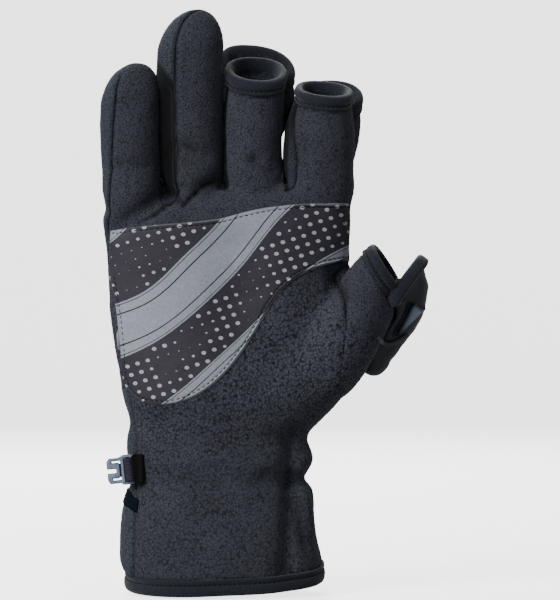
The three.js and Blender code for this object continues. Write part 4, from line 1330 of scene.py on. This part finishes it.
# how far each point is from the tab's edges, of which the hidden one isn't rounded
from_top_or_bottom = np.minimum(i, TAB_ROWS - 1 - i) * TAB_STEP_UP
from_front = np.minimum((TAB_COLUMNS - 1 - j) * TAB_STEP_ACROSS, j * TAB_STEP_ACROSS + 2)
near_edge = np.minimum(from_top_or_bottom, from_front)
stands = TAB_STANDS - hill(near_edge, TAB_STANDS, -0.0875, 0.35)
tab_points = (tab_grid + grid_out(tab_grid) * stands[..., None]).reshape(-1, 3)
tab = made("wrist_tab", tab_points, grid_faces(TAB_ROWS, TAB_COLUMNS))
finished(tab, "SOLIDIFY", thickness=TAB_THICK * MM, offset=-1)
# Woven tape: matt black, with threads too fine to show, drawn as specks 0.6 mm across.
tab_tape = new_material("black_woven_tape", Roughness=0.9, Specular_IOR_Level=0.02)
weave, tone = specked(tab_tape, 0.6, "04070c", "10141d", Detail=2.0)
bump = node(tab_tape, "Bump", {"Height": weave}, Strength=0.4, Distance=0.2 * MM)
feed(tab_tape, Base_Color=tone, Normal=bump)
tab.data.materials.append(tab_tape)
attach(tab, "glove")
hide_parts("wrist_tab")

# THE ROOM. A plain pale bowl, so that the ground and what is behind the glove look the same from
# every side. One large soft light stands at the upper left and one behind, with weaker ones at the
# left and the right and a pale sky.
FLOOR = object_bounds()[0][2] - 0.5 * MM
BOWL_SIDES = 64
bowl_rows = [(1.2, 0.0), (2.2, 0.0)]
bowl_rows += [(2.2 + 0.8 * math.sin(t), 0.8 - 0.8 * math.cos(t)) for t in np.linspace(0.2, 1.57, 8)]
bowl_rows.append((3.0, 3.0))
rings = []
for radius, height in bowl_rows:
    flat_ring = oval(BOWL_SIDES, np.array([radius, 0, 0]), np.array([0, radius, 0]))
    rings.append(flat_ring + [0, 0, height + FLOOR])
points, faces = tube(rings, start=np.array([0.0, 0.0, FLOOR]))
bowl = made("pale_floor", points / MM + CUFF_MIDDLE, [face[::-1] for face in faces])
# Matt paper that glows a little, so that it is as pale behind the glove as under the lights.
glow = {"Emission_Color": colour("ffffff"), "Emission_Strength": 2.4}
paper = new_material("pale_paper", Roughness=0.9, Base_Color=colour("f4f4f2"), **glow)
bowl.data.materials.append(paper)
bowl.visible_diffuse = False
bowl.visible_glossy = False


GLOVE_MIDDLE = Vector((0, 0, 0.115))


def soft_light(name, place, size, watts):
    """A square light that looks at the middle of the glove."""
    lamp = bpy.data.objects.new(name, bpy.data.lights.new(name, "AREA"))
    lamp.data.size = size
    lamp.data.energy = watts
    lamp.location = place
    lamp.rotation_euler = (GLOVE_MIDDLE - Vector(place)).to_track_quat("-Z", "Y").to_euler()
    bpy.context.scene.collection.objects.link(lamp)


soft_light("key_light", (-1.0, -1.0, 0.8), 0.8, 39)
soft_light("side_light", (-1.1, 0.15, 0.7), 0.5, 3)
soft_light("fill_light", (0.9, -1.2, 0.3), 0.9, 0.5)
soft_light("back_light", (-0.2, 1.1, 0.9), 0.8, 22)
world = bpy.data.worlds.new("pale_sky")
bpy.context.scene.world = world
world.use_nodes = True
world.node_tree.nodes["Background"].inputs["Color"].default_value = (1, 1, 1, 1)
world.node_tree.nodes["Background"].inputs["Strength"].default_value = 0.45

# The camera is level with the middle of the glove, 1.3 m away, and frames what the photograph frames.
CAMERA_DISTANCE = 1.3
SENSOR_HEIGHT = 24
PHOTO_HEIGHT = 600 * 0.41 * MM  # its pixels, each 0.41 mm
camera = bpy.data.objects.new("camera", bpy.data.cameras.new("camera"))
camera.data.sensor_fit = "VERTICAL"
camera.data.sensor_height = SENSOR_HEIGHT
camera.data.lens = SENSOR_HEIGHT * CAMERA_DISTANCE / PHOTO_HEIGHT
camera.location = (0.02396, -CAMERA_DISTANCE, 0.11618)
camera.rotation_euler = (math.pi / 2, 0, 0)
bpy.context.scene.collection.objects.link(camera)
bpy.context.scene.camera = camera
